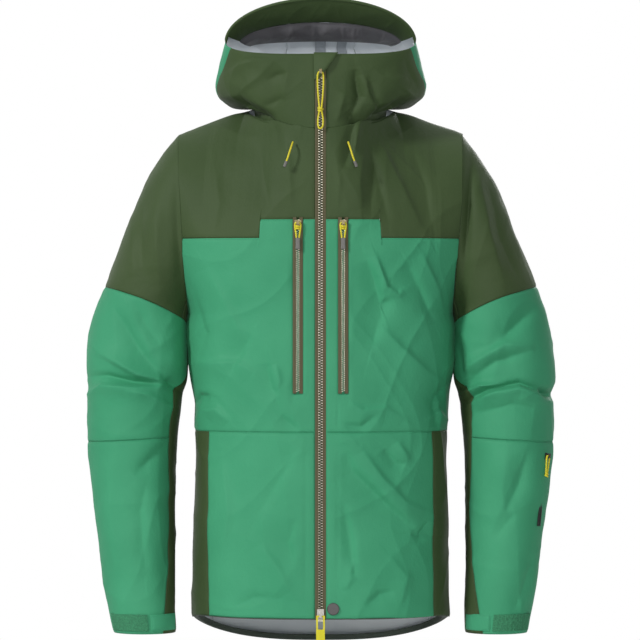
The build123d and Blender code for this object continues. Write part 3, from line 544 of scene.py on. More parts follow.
def laminate(name, face, shade, crinkle=0.16, rough=0.62, sheen=0.02):
    """Matt woven laminate: two close tints over a crinkle, and a stitched line.

    The crinkle is noise 11 mm across with four finer octaves. The stitch line lies 1.9 mm inside
    each sewn edge and dips at every 2.6 mm stitch.
    """
    material, tree, shader = fresh(name)
    place = add(tree, "ShaderNodeTexCoord").outputs["Object"]
    broad = add(tree, "ShaderNodeTexNoise", {"Vector": place}, Scale=90.0, Detail=4.0, Roughness=0.62)
    fine = add(tree, "ShaderNodeTexNoise", {"Vector": place}, Scale=900.0, Detail=2.0)
    cloudy = add(tree, "ShaderNodeTexNoise", {"Vector": place}, Scale=9.0, Detail=3.0)
    tint = ramp(tree, cloudy.outputs["Fac"], linear(shade), linear(face), 0.35, 0.62)
    edge_map = add(tree, "ShaderNodeUVMap", uv_map="stitch").outputs[0]
    split = add(tree, "ShaderNodeSeparateXYZ", {"Vector": edge_map})
    beside = add(tree, "ShaderNodeMath", {0: split.outputs[0]}, operation="SUBTRACT")
    beside.inputs[1].default_value = STITCH_IN
    offset = add(tree, "ShaderNodeMath", {0: beside.outputs[0]}, operation="ABSOLUTE")
    line = add(tree, "ShaderNodeMapRange", {"Value": offset.outputs[0]}, From_Max=0.0007, To_Min=1.0,
               To_Max=0.0)
    beat = add(tree, "ShaderNodeMath", {0: split.outputs[1]}, operation="PINGPONG")
    beat.inputs[1].default_value = STITCH_LONG / 2
    gap = add(tree, "ShaderNodeMapRange", {"Value": beat.outputs[0]}, From_Min=0.0002, From_Max=0.0005)
    stitch = add(tree, "ShaderNodeMath", {0: line.outputs[0], 1: gap.outputs[0]}, operation="MULTIPLY")
    colour = add(tree, "ShaderNodeMix", data_type="RGBA")
    tree.links.new(stitch.outputs[0], colour.inputs[0])
    tree.links.new(tint.outputs[0], colour.inputs[6])
    colour.inputs[7].default_value = linear(shade)
    soft_bump = add(tree, "ShaderNodeBump", {"Height": broad.outputs["Fac"]}, Strength=crinkle, Distance=0.004)
    weave = add(tree, "ShaderNodeBump", {"Height": fine.outputs["Fac"], "Normal": soft_bump.outputs[0]},
                Strength=0.22, Distance=0.0004)
    sewn = add(tree, "ShaderNodeBump", {"Height": stitch.outputs[0], "Normal": weave.outputs[0]},
               Strength=0.5, Distance=0.0006)
    tree.links.new(colour.outputs[2], shader.inputs["Base Color"])
    tree.links.new(sewn.outputs[0], shader.inputs["Normal"])
    shader.inputs["Roughness"].default_value = rough
    shader.inputs["Sheen Weight"].default_value = sheen
    shader.inputs["Specular IOR Level"].default_value = 0.2
    shader.inputs["Sheen Roughness"].default_value = 0.4
    return material


EMERALD = laminate("emerald woven laminate", "#45A076", "#3F9970")
OLIVE = laminate("olive woven laminate", "#3F5130", "#3A4C2C")
LINING = laminate("pale knit backing", "#E4E9ED", "#D9DFE4", 0.15, 0.8, 0.2)
GREY = laminate("grey brushed facing", "#69686C", "#5A595D", 0.3, 0.8, 0.2)
HEM_CLOTH = laminate("grey-green hem facing", "#4A534B", "#3E473F", 0.25, 0.75, 0.1)
print("finishes:", len(bpy.data.materials))

# %% [markdown]
# ## Folds
#
# A laminated shell does not drape like a knit. It bends along long straight lines, sharp on one
# side and rounded on the other, and stays smooth between them. Cloth simulation gives soft hanging
# folds instead, so each large crease is drawn as a line on the front or back of the jacket, with a
# height, a width on either side, and ends that die away. Broad gentle waves lie under them.

# %% Creases and waves


def to_line(x, z, line):
    """Signed distance to a polyline (positive on the left of its direction) and the share run along it.

    For each segment the nearest point's share is clipped to 0..1, and the nearest segment wins.
    """
    line = np.asarray(line, float)
    step = np.diff(line, axis=0)
    size = np.linalg.norm(step, axis=1)
    begun = np.insert(np.cumsum(size), 0, 0)
    best, signed, share = np.full(x.shape, 1e9), np.zeros(x.shape), np.zeros(x.shape)
    for (a, c), (dx, dz), long, start in zip(line[:-1], step, size, begun):
        t = ((x - a) * dx + (z - c) * dz) / long ** 2
        held = np.clip(t, 0, 1)
        off = np.hypot(x - a - held * dx, z - c - held * dz)
        side = np.sign(dx * (z - c) - dz * (x - a))
        nearer = off < best
        best = np.where(nearer, off, best)
        signed = np.where(nearer, side * off, signed)
        share = np.where(nearer, (start + held * long) / begun[-1], share)
    return signed, share


def crease(x, z, high, left, right, *line):
    """Fold along a line: high in the middle, falling away over left and right millimetres.

    Its height is high times exp(-(distance / width)^1.4), and it dies away towards both ends.
    """
    off, share = to_line(x, z, line)
    wide = np.where(off > 0, left, right)
    fall = np.exp(-((np.sqrt(off ** 2 + 0.5) / wide) ** 1.4))
    return high * fall * np.sin(np.pi * np.clip(share, 0.03, 0.97)) ** 0.8


def creases(x, z, folds):
    """Sum of many creases."""
    return sum((crease(x, z, *fold[:3], *fold[3:]) for fold in folds), np.zeros(np.shape(x)))


def waves(p, long, seed, count=7):
    """Broad waves: sines in chance directions, long millimetres from crest to crest, give or take a third."""
    chance = np.random.default_rng(seed)
    way = unit(chance.normal(size=(count, 3)))
    pitch = 2 * np.pi / (long * chance.uniform(0.7, 1.4, count))
    return np.sin(p @ (way * pitch[:, None]).T + chance.uniform(0, 6.28, count)).sum(-1) / np.sqrt(count)


def ridges(p, long, seed, count=3):
    """Thin straight ridges between flat facets, from sines folded at zero, bent by broad waves."""
    bend_by = np.stack([waves(p, long * 2.2, seed + k) for k in (1, 2, 3)], axis=-1) * long * 0.22
    chance = np.random.default_rng(seed)
    way = unit(chance.normal(size=(count, 3)) * [1, 0.4, 0.8])
    pitch = np.pi / (long * chance.uniform(0.8, 1.5, count))
    folded = np.abs(np.sin((p + bend_by) @ (way * pitch[:, None]).T + chance.uniform(0, 3.1, count)))
    return (np.clip(1 - folded * 1.6, 0, 1) ** 2).sum(-1)


def no_folds(p, away):
    """Leaves the surface as it was cut."""
    return np.zeros(p.shape[:-1])


def on_front(away):
    """1 on cloth that faces forwards, 0 on cloth that faces back."""
    return np.clip(0.5 - away[..., 1] * 2.2, 0, 1)


def rise(value, low, high):
    """Smooth step from 0 at low to 1 at high."""
    t = np.clip((value - low) / (high - low), 0, 1)
    return t * t * (3 - 2 * t)


print("fold functions ready")

# %% [markdown]
# ## Where the body folds
#
# The chest hangs from the shoulders, so its folds run down and outwards. Below the pocket seam the
# cloth swings from the hips in long diagonals. Each row is a crease: height, width on its left, width on its
# right, then the points it runs through, as x and z in millimetres.

# %% Body creases
FRONT_FOLDS = [
    # stitched lines of the placket and the inner pockets
    (-2.4, 1.2, 1.2, (-21, -446), (-21, -560), (-21, -704)),
    (-2.2, 1.2, 1.2, (23, -446), (23, -560), (23, -704)),
    (-2.6, 1.2, 1.2, (-15, -340), (-15, -386), (-20, -398), (-36, -403)),
    (-2.2, 1.2, 1.2, (25, -392), (23, -447)),
    # wearer's left, yoke: pulled from the collar
    (-6, 5, 12, (51, -8), (44, -30), (40, -62), (30, -84)),
    (5, 3, 10, (58, -6), (52, -34), (47, -60)),
    (-3.5, 4, 16, (62, -30), (74, -66), (88, -120), (96, -160)),
    (3, 5, 20, (72, -20), (104, -86), (136, -150), (150, -176)),
    (-3, 4, 12, (78, -68), (73, -110), (70, -150)),
    (2.5, 4, 14, (60, -60), (55, -100), (58, -140)),
    (-3, 4, 13, (132, -50), (150, -110), (160, -180)),
    (2.5, 4, 10, (20, -60), (26, -100), (22, -142)),
    # wearer's right, yoke
    (2.2, 5, 16, (-52, -24), (-44, -70), (-40, -140)),
    (-2.2, 4, 10, (-71, -8), (-62, -24), (-58, -50)),
    (2.0, 3, 8, (-36, -3), (-27, -20), (-28, -44)),
    (-1.8, 5, 18, (-88, -30), (-80, -90), (-70, -150)),
    (1.8, 6, 20, (-150, -60), (-140, -130), (-150, -176)),
    # wearer's left, chest panel
    (-5, 4, 14, (64, -206), (76, -236), (84, -270), (104, -262)),
    (4.5, 3, 10, (76, -200), (92, -246), (108, -256), (118, -248)),
    (-5, 6, 22, (92, -262), (80, -300), (72, -330)),
    (4, 5, 26, (84, -300), (112, -330), (150, -366), (172, -380)),
    (-4, 5, 16, (120, -210), (140, -250), (160, -300)),
    (3, 4, 12, (140, -196), (160, -240), (172, -280)),
    (-5, 4, 10, (176, -384), (160, -406), (164, -444)),
    (4, 3, 9, (150, -430), (166, -420), (180, -438)),
    (-2.5, 4, 10, (30, -436), (56, -440), (78, -424)),
    (2.5, 4, 14, (36, -404), (60, -418), (92, -414), (120, -432)),
    # wearer's right, chest panel
    (5, 4, 12, (-176, -440), (-164, -418), (-146, -416), (-126, -434)),
    (-4.5, 3, 9, (-178, -410), (-168, -398), (-154, -398)),
    (3.5, 5, 16, (-180, -352), (-150, -352), (-118, -350), (-92, -366)),
    (-3.5, 5, 18, (-96, -310), (-112, -338), (-130, -372)),
    (-3, 5, 14, (-74, -350), (-70, -378), (-60, -402)),
    (3, 4, 12, (-62, -352), (-56, -376), (-60, -392)),
    (3, 6, 22, (-160, -216), (-120, -290), (-104, -330)),
    (-2.6, 5, 14, (-56, -424), (-42, -436), (-28, -446)),
    (-2.5, 5, 20, (-178, -250), (-160, -310), (-172, -350)),
    # wearer's left, lower front
    (-6, 5, 26, (32, -470), (46, -502), (84, -540), (130, -584), (148, -590)),
    (5, 4, 22, (56, -470), (84, -510), (118, -546), (150, -560)),
    (-4.5, 5, 16, (30, -540), (42, -596), (46, -640), (34, -664)),
    (3.2, 4, 10, (46, -620), (42, -650), (32, -668)),
    (-3.5, 4, 10, (88, -470), (104, -490), (118, -496)),
    (3, 4, 9, (106, -460), (118, -478), (122, -490)),
    (-5, 3, 9, (126, -588), (138, -592), (150, -572)),
    (3, 5, 18, (96, -620), (120, -650), (110, -690)),
    (-2.6, 5, 12, (60, -690), (82, -672), (104, -668)),
    # wearer's right, lower front
    (-3.4, 6, 28, (-30, -466), (-50, -500), (-84, -556), (-104, -600)),
    (3, 6, 24, (-140, -470), (-128, -560), (-140, -640)),
    (-2.8, 5, 18, (-34, -566), (-44, -600), (-36, -640)),
    (2.4, 5, 16, (-84, -600), (-58, -636), (-40, -670)),
    (-2.4, 6, 18, (-120, -690), (-92, -676), (-50, -678)),
]
SIDE_FOLDS = [
    (-4, 4, 12, (166, -480), (158, -530), (164, -580)),
    (3, 4, 10, (172, -600), (160, -660), (168, -700)),
    (2.5, 5, 12, (-172, -500), (-166, -580), (-174, -660)),
]
BACK_FOLDS = [
    (3.5, 6, 24, (-150, -190), (-120, -240), (-60, -276), (0, -286)),
    (3.5, 6, 24, (150, -200), (116, -256), (56, -290), (-10, -300)),
    (-4, 5, 22, (-160, -300), (-110, -340), (-50, -352)),
    (-4, 5, 22, (164, -286), (120, -330), (60, -356), (10, -350)),
    (3, 5, 18, (-60, -400), (-20, -440), (40, -452), (90, -430)),
    (-3.5, 6, 26, (-90, -470), (-80, -560), (-96, -660)),
    (3.5, 6, 26, (-36, -480), (-44, -580), (-30, -690)),
    (-3.5, 6, 26, (30, -480), (36, -580), (24, -680)),
    (3.5, 6, 24, (96, -460), (84, -560), (100, -680)),
    (-3, 5, 16, (-128, -60), (-80, -100), (-30, -112)),
    (-3, 5, 16, (128, -60), (84, -96), (30, -116)),
    (2.5, 5, 14, (-150, -110), (-110, -140), (-60, -150)),
    (2.5, 5, 14, (150, -104), (112, -136), (60, -152)),
]


FOLD_DEPTH = 1.5  # how much deeper the cloth folds than its tables say
DEEPEST = 8.0  # no fold goes further in than this, because the pocket bags lie behind


def over_neck(p):
    """How far a point lies above the neck seam's height at its x."""
    return p[..., 2] - 10 + 35 * (1 - np.clip(np.abs(p[..., 0]) / NECK_SIDE[0], 0, 1) ** 2)


def neck_groove(p, front):
    """Deep fold along the sides of the neck seam, where the full collar hangs over the shoulder."""
    return -9 * front * np.exp(-((over_neck(p) / 6) ** 2)) * rise(np.abs(p[..., 0]), 58, 84)


def body_press(p, away):
    """Folds of the body: front or back creases by the way the cloth faces, over broad waves.

    All of it dies away near the middle front, where the zip keeps the cloth flat, and at the neck.
    """
    x, z = p[..., 0], p[..., 2]
    front = on_front(away)
    at_zip = np.exp(-(((np.abs(x) - 31.5) / 11) ** 4)) * rise(z, -420, -396) * (1 - rise(z, -150, -136))
    calm = rise(np.abs(x), 9, 40) * (1 - 0.96 * at_zip)
    pressed = front * calm * (FOLD_DEPTH * creases(x, z, FRONT_FOLDS) + 1.4 * ridges(p, 95, 5))
    in_slot = np.exp(-(((np.abs(x) - 31.5) / 6.9) ** 8)) * rise(z, -397, -393) * (1 - rise(z, -153, -149))
    pressed -= 2.6 * front * in_slot
    behind = FOLD_DEPTH * creases(x, z, BACK_FOLDS) + creases(x, z, SIDE_FOLDS) + 1.2 * ridges(p, 90, 8)
    pressed += (1 - front) * behind
    broad = (1.6 + 1.2 * rise(x, 40, 120)) * waves(p, 150, 3) + 0.6 * waves(p, 70, 4)
    keep = 1 - (1 - calm) * front
    beside_arm = np.clip(np.abs(away[..., 0]), 0, 1) ** 2 * rise(-z, 278, 305) * (1 - rise(-z, 350, 400))
    total = DEEPEST * np.tanh((pressed + broad * keep) / DEEPEST)
    return total * rise(-z, -4, 30) + 5 * beside_arm + neck_groove(p, front)

# %% [markdown]
# ## The body's panels
#
# Every panel of the body is a grid of level rows between two seams.

# %% Panels of the body


def rows_between(low, high, place):
    """Surface of level rows from one height to another."""
    return lambda u, v: place(low + (high - low) * v, u)


FRONT_EDGE_X, SIDE_TURN_BACK = 157.0, 35.0
BACK_DROP = 52.0


def side_back(z):
    """Turn of the side panel's back seam."""
    return 90 + SIDE_TURN_BACK * np.clip((POCKET_Z - z) / (POCKET_Z - HEM_Z), 0, 1.2)


def front_low_row(z, u):
    """Row of the lower front panel."""
    return body(z, turn_at(z, GAP) + (turn_at(z, FRONT_EDGE_X) - turn_at(z, GAP)) * u)


def side_row(z, u):
    """Row of the side panel."""
    return body(z, turn_at(z, FRONT_EDGE_X) + (side_back(z) - turn_at(z, FRONT_EDGE_X)) * u)


def hem_drop(turn):
    """How far the hem hangs below the front hem: nothing before the side seam, most at the back middle.

    It follows the square of a sine of the turn from the side seam.
    """
    start = turn_at(HEM_Z, FRONT_EDGE_X)
    t = np.clip((np.minimum(turn, 360 - turn) - start) / (180 - start), 0, 1)
    return BACK_DROP * np.sin(np.pi / 2 * t) ** 2


def side_surface(u, v):
    """Side panel, whose hem follows the fall of the back."""
    p = side_row(HEM_Z + (POCKET_Z - HEM_Z) * v, u)
    start = turn_at(HEM_Z, FRONT_EDGE_X)
    p[..., 2] -= hem_drop(start + (90 + SIDE_TURN_BACK - start) * u) * (1 - v)
    return p


LOW_SHARE = 0.49


def back_surface(u, v):
    """Whole back: between the side panels' seams low down, between the side seams and armholes above."""
    low_z = HEM_Z + (POCKET_Z - HEM_Z) * np.clip(v / LOW_SHARE, 0, 1)
    turn = side_back(low_z) + (360 - 2 * side_back(low_z)) * u
    low = body(low_z, turn)
    at_hem = 90 + SIDE_TURN_BACK + (180 - 2 * SIDE_TURN_BACK) * u
    low[..., 2] -= hem_drop(at_hem) * (1 - np.clip(v / LOW_SHARE, 0, 1))
    high_z = POCKET_Z + (YOKE_Z - POCKET_Z) * np.clip((v - LOW_SHARE) / (1 - LOW_SHARE), 0, 1)
    across = 1 - 2 * u
    high = wide_row(high_z, 1, np.abs(across)) * np.where((across > 0)[..., None], 1.0, MIRROR)
    return np.where((v <= LOW_SHARE)[..., None], low, high)


def back_yoke_surface(u, v):
    """Whole back yoke from its two halves."""
    return back_yoke(np.abs(1 - 2 * u), v) * np.where((u <= 0.5)[..., None], 1.0, MIRROR)


STEP_X, STEP_Z = 85.0, -152.0
STEP_SHARE = float(np.interp(STEP_X, front_yoke(np.linspace(0, 1, 200), np.zeros(200))[:, 0],
                             np.linspace(0, 1, 200)))


def step_height(u):
    """Share up the yoke where its surface reaches the raised edge of the chest panel (Newton's method)."""
    v = np.full(np.shape(u), 0.15)
    for _ in range(5):
        z = front_yoke(u, v)[..., 2]
        v = v + (STEP_Z - z) / (front_yoke(u, v + 0.01)[..., 2] - z) * 0.01
    return v


LEFT, RIGHT = 0.42, 0.427  # neighbouring columns of the grid where the seam steps
STEP_SPLIT = (LEFT + RIGHT) / 2
CHEST_LEVEL, YOKE_LEVEL = 0.8, 0.2  # share of each panel's rows at which they turn level


def stepped(u, away):
    """Share across the chest. The columns beside the step stand close at the seam and part away from it."""
    half = 4e-4 + 0.0035 * away
    low, high = STEP_SHARE - half, STEP_SHARE + half
    return np.where(u < STEP_SPLIT, low * u / LEFT, high + (1 - high) * (u - RIGHT) / (1 - RIGHT))


def chest_emerald(u, v):
    """Chest from the pocket seam up to the stepped yoke seam; its rows are level up to 16 mm below the yoke."""
    across = stepped(u, 1 - rise(v, 0.6, CHEST_LEVEL))
    top, level = np.where(u < STEP_SPLIT, STEP_Z, YOKE_Z), YOKE_Z - 16
    above = (v - CHEST_LEVEL) / (1 - CHEST_LEVEL)
    z = np.where(v < CHEST_LEVEL, POCKET_Z + (level - POCKET_Z) * v / CHEST_LEVEL,
                 level + (top - level) * above)
    share = np.clip((z - YOKE_Z) / (STEP_Z - YOKE_Z), 0, 1)
    low = wide_row(np.minimum(z, YOKE_Z), -1, across, GAP)
    high = front_yoke(across, step_height(across) * share)
    return np.where((z <= YOKE_Z)[..., None], low, high)


def yoke_olive(u, v):
    """Yoke above the stepped seam; its rows are level from a quarter of the way up."""
    across = stepped(u, rise(v, YOKE_LEVEL, 0.5))
    low, level = np.where(u < STEP_SPLIT, step_height(across), 0), 0.24
    above = (v - YOKE_LEVEL) / (1 - YOKE_LEVEL)
    up = np.where(v < YOKE_LEVEL, low + (level - low) * v / YOKE_LEVEL, level + (1 - level) * above)
    return front_yoke(across, up)


for side, name in ((1, "left"), (-1, "right")):
    common = dict(away=from_body, press=body_press, side=side)
    panel(f"front_panel_{name}_cloth", "jacket", [f"front_panel_{name}"], "emerald_cloth",
          rows_between(HEM_Z, POCKET_Z, front_low_row), (90, 150), materials=(EMERALD, LINING), **common)
    panel(f"chest_panel_{name}_cloth", "jacket", [f"chest_panel_{name}"], "emerald_cloth", chest_emerald,
          (150, 190), sewn="low near high", materials=(EMERALD, LINING), **common)
    panel(f"side_panel_{name}_cloth", "jacket", [f"side_panel_{name}"], "olive_cloth",
          side_surface, (60, 150), materials=(OLIVE, LINING), **common)
    panel(f"front_yoke_{name}_cloth", "jacket", [f"front_yoke_{name}"], "olive_cloth", yoke_olive, (150, 120),
          sewn="low near", materials=(OLIVE, LINING), **common)
panel("back_panel_cloth", "jacket", ["back_panel"], "emerald_cloth", back_surface, (150, 180), from_body,
      body_press, (EMERALD, LINING))
panel("back_yoke_cloth", "jacket", ["back_yoke"], "olive_cloth", back_yoke_surface, (150, 80), from_body,
      body_press, (OLIVE, LINING))
print("body panels done")

# %% [markdown]
# ## The sleeves
#
# Sleeve points move away from the middle of their own ring.

# %% Sleeve panels


def colour_seam(turn):
    """Ring of the seam between the olive and emerald sleeve, which climbs towards the body."""
    return OLIVE_RING - 0.22 * (1 - np.cos(np.radians(turn)))


def elbow_seam(turn):
    """Ring of the seam over the elbow."""
    return ELBOW_RING + 0.1 + 0 * turn


def top_ring(turn):
    """Ring at the armhole."""
    return 0 * turn


def cuff_ring(turn):
    """Ring at the cuff's edge."""
    return CUFF + 0 * turn


UNDER_RINGS = [0, 2.6, 3.0, 4.8, 5.7, 7.0, 8.2, 9.0, 10.0]
UNDER_TURNS = {1: [150, 150, 174, 174, 138, 146, 163, 148, 118],
               -1: [150, 150, 174, 174, 146, 148, 158, 152, 129]}


def under_front(ring, side):
    """Turn of the under-sleeve's front seam, which swings forward at the elbow and the cuff."""
    return np.interp(ring, UNDER_RINGS, UNDER_TURNS[side])


def sleeve_part(low_ring, high_ring, under, side):
    """Surface of a sleeve panel between two ring seams, and the direction away from its middle.

    The turn runs between the under-sleeve's back and front seams; the ring is blended between
    the two seams at that turn.
    """

    def place(u, v):
        ring = low_ring(180 * u) + (high_ring(180 * u) - low_ring(180 * u)) * v
        for _ in range(2):
            front = under_front(ring, side)
            first, last = (front, UNDER[1]) if under else (UNDER[1] - 360, front)
            turn = first + (last - first) * u
            ring = low_ring(turn) + (high_ring(turn) - low_ring(turn)) * v
        return ring, turn

    def surface(u, v):
        return sleeve(*place(u, v))

    def away(p):
        v, u = np.mgrid[0:1:p.shape[0] * 1j, 0:1:p.shape[1] * 1j]
        return unit(p - sleeve_middle(place(u, v)[0]) * np.where(p[..., :1] < 0, MIRROR, 1.0))

    return surface, away


SLEEVE_FOLDS = [
    # wearer's right: the elbow's folds gather at the inner side
    (-7, 9, 18, (-292, -272), (-262, -322), (-236, -356), (-214, -378)),
    (-3, 8, 14, (-264, -262), (-246, -296), (-226, -330)),
    (6.5, 13, 4, (-314, -337), (-288, -351), (-258, -369), (-210, -381)),
    (-6, 5, 5, (-330, -372), (-301, -370), (-264, -379), (-222, -384)),
    (7.5, 4, 15, (-336, -402), (-306, -384), (-258, -386), (-208, -384)),
    (-7, 7, 7, (-222, -374), (-206, -384), (-192, -398)),
    (4, 5, 14, (-276, -391), (-244, -397), (-202, -420)),
    (-3.5, 8, 14, (-262, -512), (-238, -487), (-210, -461)),
    (-4, 7, 22, (-243, -512), (-252, -560), (-246, -650)),
    (3, 10, 20, (-288, -470), (-296, -560), (-284, -660)),
    (-2.5, 6, 12, (-212, -480), (-209, -590), (-222, -690)),
    (-6, 9, 6, (-201, -70), (-200, -150), (-194, -250)),
    (3, 8, 10, (-272, -130), (-266, -180), (-262, -236)),
    (-3, 8, 10, (-250, -120), (-252, -180), (-250, -240)),
    (2.4, 8, 10, (-230, -90), (-232, -160), (-226, -250)),
    # wearer's left
    (-6, 8, 16, (308, -270), (282, -294), (256, -318), (232, -330)),
    (6, 6, 18, (200, -368), (226, -346), (259, -325), (306, -331)),
    (-5, 8, 8, (204, -382), (245, -350), (300, -334)),
    (7, 4, 10, (190, -402), (225, -384), (258, -382)),
    (-8, 4, 5, (196, -411), (232, -390), (279, -381), (316, -393)),
    (8, 4, 12, (208, -412), (246, -392), (279, -386), (326, -406)),
    (-10, 6, 6, (306, -389), (320, -396), (338, -400)),
    (-3.5, 6, 14, (214, -424), (272, -410), (312, -421)),
    (-5, 9, 18, (292, -470), (279, -523), (250, -580)),
    (3.5, 10, 18, (262, -470), (254, -530), (262, -600)),
    (-3.5, 7, 12, (276, -560), (258, -580), (242, -602)),
    (-3.5, 8, 14, (302, -616), (290, -660), (270, -704)),
    (-7, 8, 10, (192, -310), (199, -345), (204, -376)),
    (-8, 6, 8, (213, -52), (208, -140), (199, -246)),
    (4.5, 7, 14, (222, -80), (238, -170), (258, -240)),
    (-4.5, 8, 12, (232, -70), (256, -180), (284, -240)),
]
SLEEVE_BACK = [
    (4, 6, 18, (206, -250), (244, -290), (300, -310)),
    (-5, 6, 14, (200, -300), (246, -330), (312, -344)),
    (5, 6, 14, (206, -350), (262, -372), (322, -366)),
    (-5, 7, 12, (210, -392), (270, -396), (324, -386)),
    (3.5, 8, 16, (226, -440), (246, -520), (240, -620)),
    (-3.5, 8, 18, (280, -440), (276, -540), (262, -660)),
    (3.5, 8, 16, (216, -80), (236, -160), (262, -230)),
    (-3.5, 8, 16, (204, -140), (214, -200), (240, -250)),
]


def sleeve_press(p, away):
    """Folds of the sleeves over gentle waves; the cuff and the armhole stay as they were cut.

    The inner side fills out against the body above the elbow, where the arm hangs against it.
    """
    x, z = p[..., 0], p[..., 2]
    front = on_front(away)
    pressed = front * (1.35 * creases(x, z, SLEEVE_FOLDS) + 0.9 * ridges(p, 80, 21))
    pressed += (1 - front) * (creases(np.abs(x), z, SLEEVE_BACK) + 1.2 * ridges(p, 80, 33))
    pressed += 1.2 * waves(p, 120, 15) + 0.5 * waves(p, 50, 16)
    inner = np.clip(-away[..., 0] * np.sign(x), 0, 1)
    pressed += 13 * inner * rise(-z, 262, 300) * (1 - rise(-z, 345, 385))
    return pressed * rise(z, -738, -690) * rise(np.abs(x), 186, 214)


SLEEVE_PANELS = [("upper_sleeve", top_ring, colour_seam, False, (150, 90), OLIVE, "olive_cloth"),
                 ("mid_sleeve", colour_seam, elbow_seam, False, (160, 130), EMERALD, "emerald_cloth"),
                 ("forearm", elbow_seam, cuff_ring, False, (140, 130), EMERALD, "emerald_cloth"),
                 ("under_sleeve", top_ring, cuff_ring, True, (34, 260), OLIVE, "olive_cloth")]
for side, name in ((1, "left"), (-1, "right")):
    for part, low_ring, high_ring, under, size, outer, slot in SLEEVE_PANELS:
        surface, away = sleeve_part(low_ring, high_ring, under, side)
        panel(f"{part}_{name}_cloth", "jacket", [f"{part}_{name}"], slot, surface, size, away, sleeve_press,
              (outer, LINING), side=side)
print("sleeves done")

# %% [markdown]
# ## Collar and hood

# %% Collar and hood panels
COLLAR_FOLDS = [
    # wearer's left: the drawcord gathers the collar
    (-10, 3, 9, (50, 60), (53, 40), (56, 20), (44, -6)),
    (7, 5, 9, (60, 52), (66, 24), (78, -2)),
    (-8, 4, 9, (66, 42), (74, 16), (90, -16)),
    (-9, 9, 9, (36, 0), (46, -14), (52, -34)),
    (3.5, 4, 12, (72, 58), (98, 40), (136, 14)),
    (-3, 4, 10, (84, 46), (104, 36), (116, 20)),
    (3, 4, 9, (88, 54), (104, 46), (122, 48)),
    (-3, 4, 10, (118, 74), (126, 54), (132, 30)),
    (3, 4, 8, (34, 30), (30, 10), (22, -18)),
    # wearer's right
    (2.4, 3, 12, (-128, 56), (-110, 66), (-92, 70)),
    (2.8, 4, 12, (-60, 75), (-86, 45), (-122, 14)),
    (-3.5, 4, 9, (-78, 40), (-62, 50), (-46, 52)),
    (2.6, 5, 10, (-46, 54), (-49, 34), (-50, 14)),
    (-3.2, 4, 9, (-78, 6), (-62, 14), (-50, 20)),
    (-3.5, 4, 8, (-80, -2), (-66, -18), (-62, -30)),
    (-2, 4, 10, (-112, 60), (-104, 40), (-108, 16)),
]


def collar_press(p, away):
    """Folds of the collar. It swells over the neck seam at its sides; the zip keeps its middle flat."""
    x, z = p[..., 0], p[..., 2]
    front, calm = on_front(away), rise(np.abs(x), 8, 30)
    pressed = front * calm * creases(x, z, COLLAR_FOLDS)
    pressed += (1 - front) * (creases(x, z, [(3, 5, 14, (-110, 20), (-50, 34), (30, 30), (100, 22))]))
    pressed += (0.8 * waves(p, 70, 41) + 0.8 * ridges(p, 60, 42)) * (1 - (1 - calm) * front)
    over = over_neck(p)
    pressed += 7 * front * rise(np.abs(x), 58, 84) * rise(over, 2, 14) * (1 - rise(over, 18, 60))
    return pressed * (1 - 0.85 * rise(z, 60, 100)) + neck_groove(p, front)


def hood_press(p, away):
    """Folds of the hood: creases fan from the top of the brim; the rim itself is stiff."""
    back = rise(p[..., 1], -100, -20)
    fans = creases(p[..., 1], p[..., 2], [(-3, 6, 14, (-60, 110), (-10, 84), (40, 80)),
                                          (3, 6, 14, (-50, 130), (10, 110), (60, 96)),
                                          (-2.5, 5, 12, (0, 60), (40, 70), (80, 60))])
    return back * (fans + 1.2 * waves(p, 90, 51) + 1.2 * ridges(p, 70, 52))


def tips_back(piece):
    """Bakes the piece's placement into its mesh and returns the piece."""
    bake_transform(piece)
    return piece


CHEEK_TOP, CHEEK_FOOT = 0.75, 0.3  # where the hood's side meets the collar's top, and how far down it comes


def front_cheek(v):
    """Share round the collar where olive meets the hood's side, at each height."""
    return 1 - (1 - CHEEK_TOP) * np.clip((v - CHEEK_FOOT) / (1 - CHEEK_FOOT), 0, 1)


def back_cheek(u):
    """Share up the collar's back where the hood's side ends, which rises to its top at the nape."""
    return CHEEK_FOOT + (1 - CHEEK_FOOT) * np.clip(u / 0.62, 0, 1) ** 0.8


def collar_olive(u, v):
    """Olive front of the collar."""
    return collar_front(u * front_cheek(v), v)


def cheek_front(u, v):
    """Emerald wedge beside the face."""
    up = CHEEK_FOOT + (1 - CHEEK_FOOT) * v
    return collar_front(front_cheek(up) + (1 - front_cheek(up)) * u, up)


def cheek_back(u, v):
    """Emerald wedge behind the ear, below the hood's fold."""
    round_ = 0.62 * u
    return collar_rear(round_, back_cheek(round_) + (1 - back_cheek(round_)) * v)


def nape_olive(u, v):
    """Olive back of the collar, below the hood's side panels."""
    round_ = 1 - np.abs(1 - 2 * u)
    both = collar_rear(round_, back_cheek(round_) * v)
    return both * np.where((u <= 0.5)[..., None], 1.0, MIRROR)


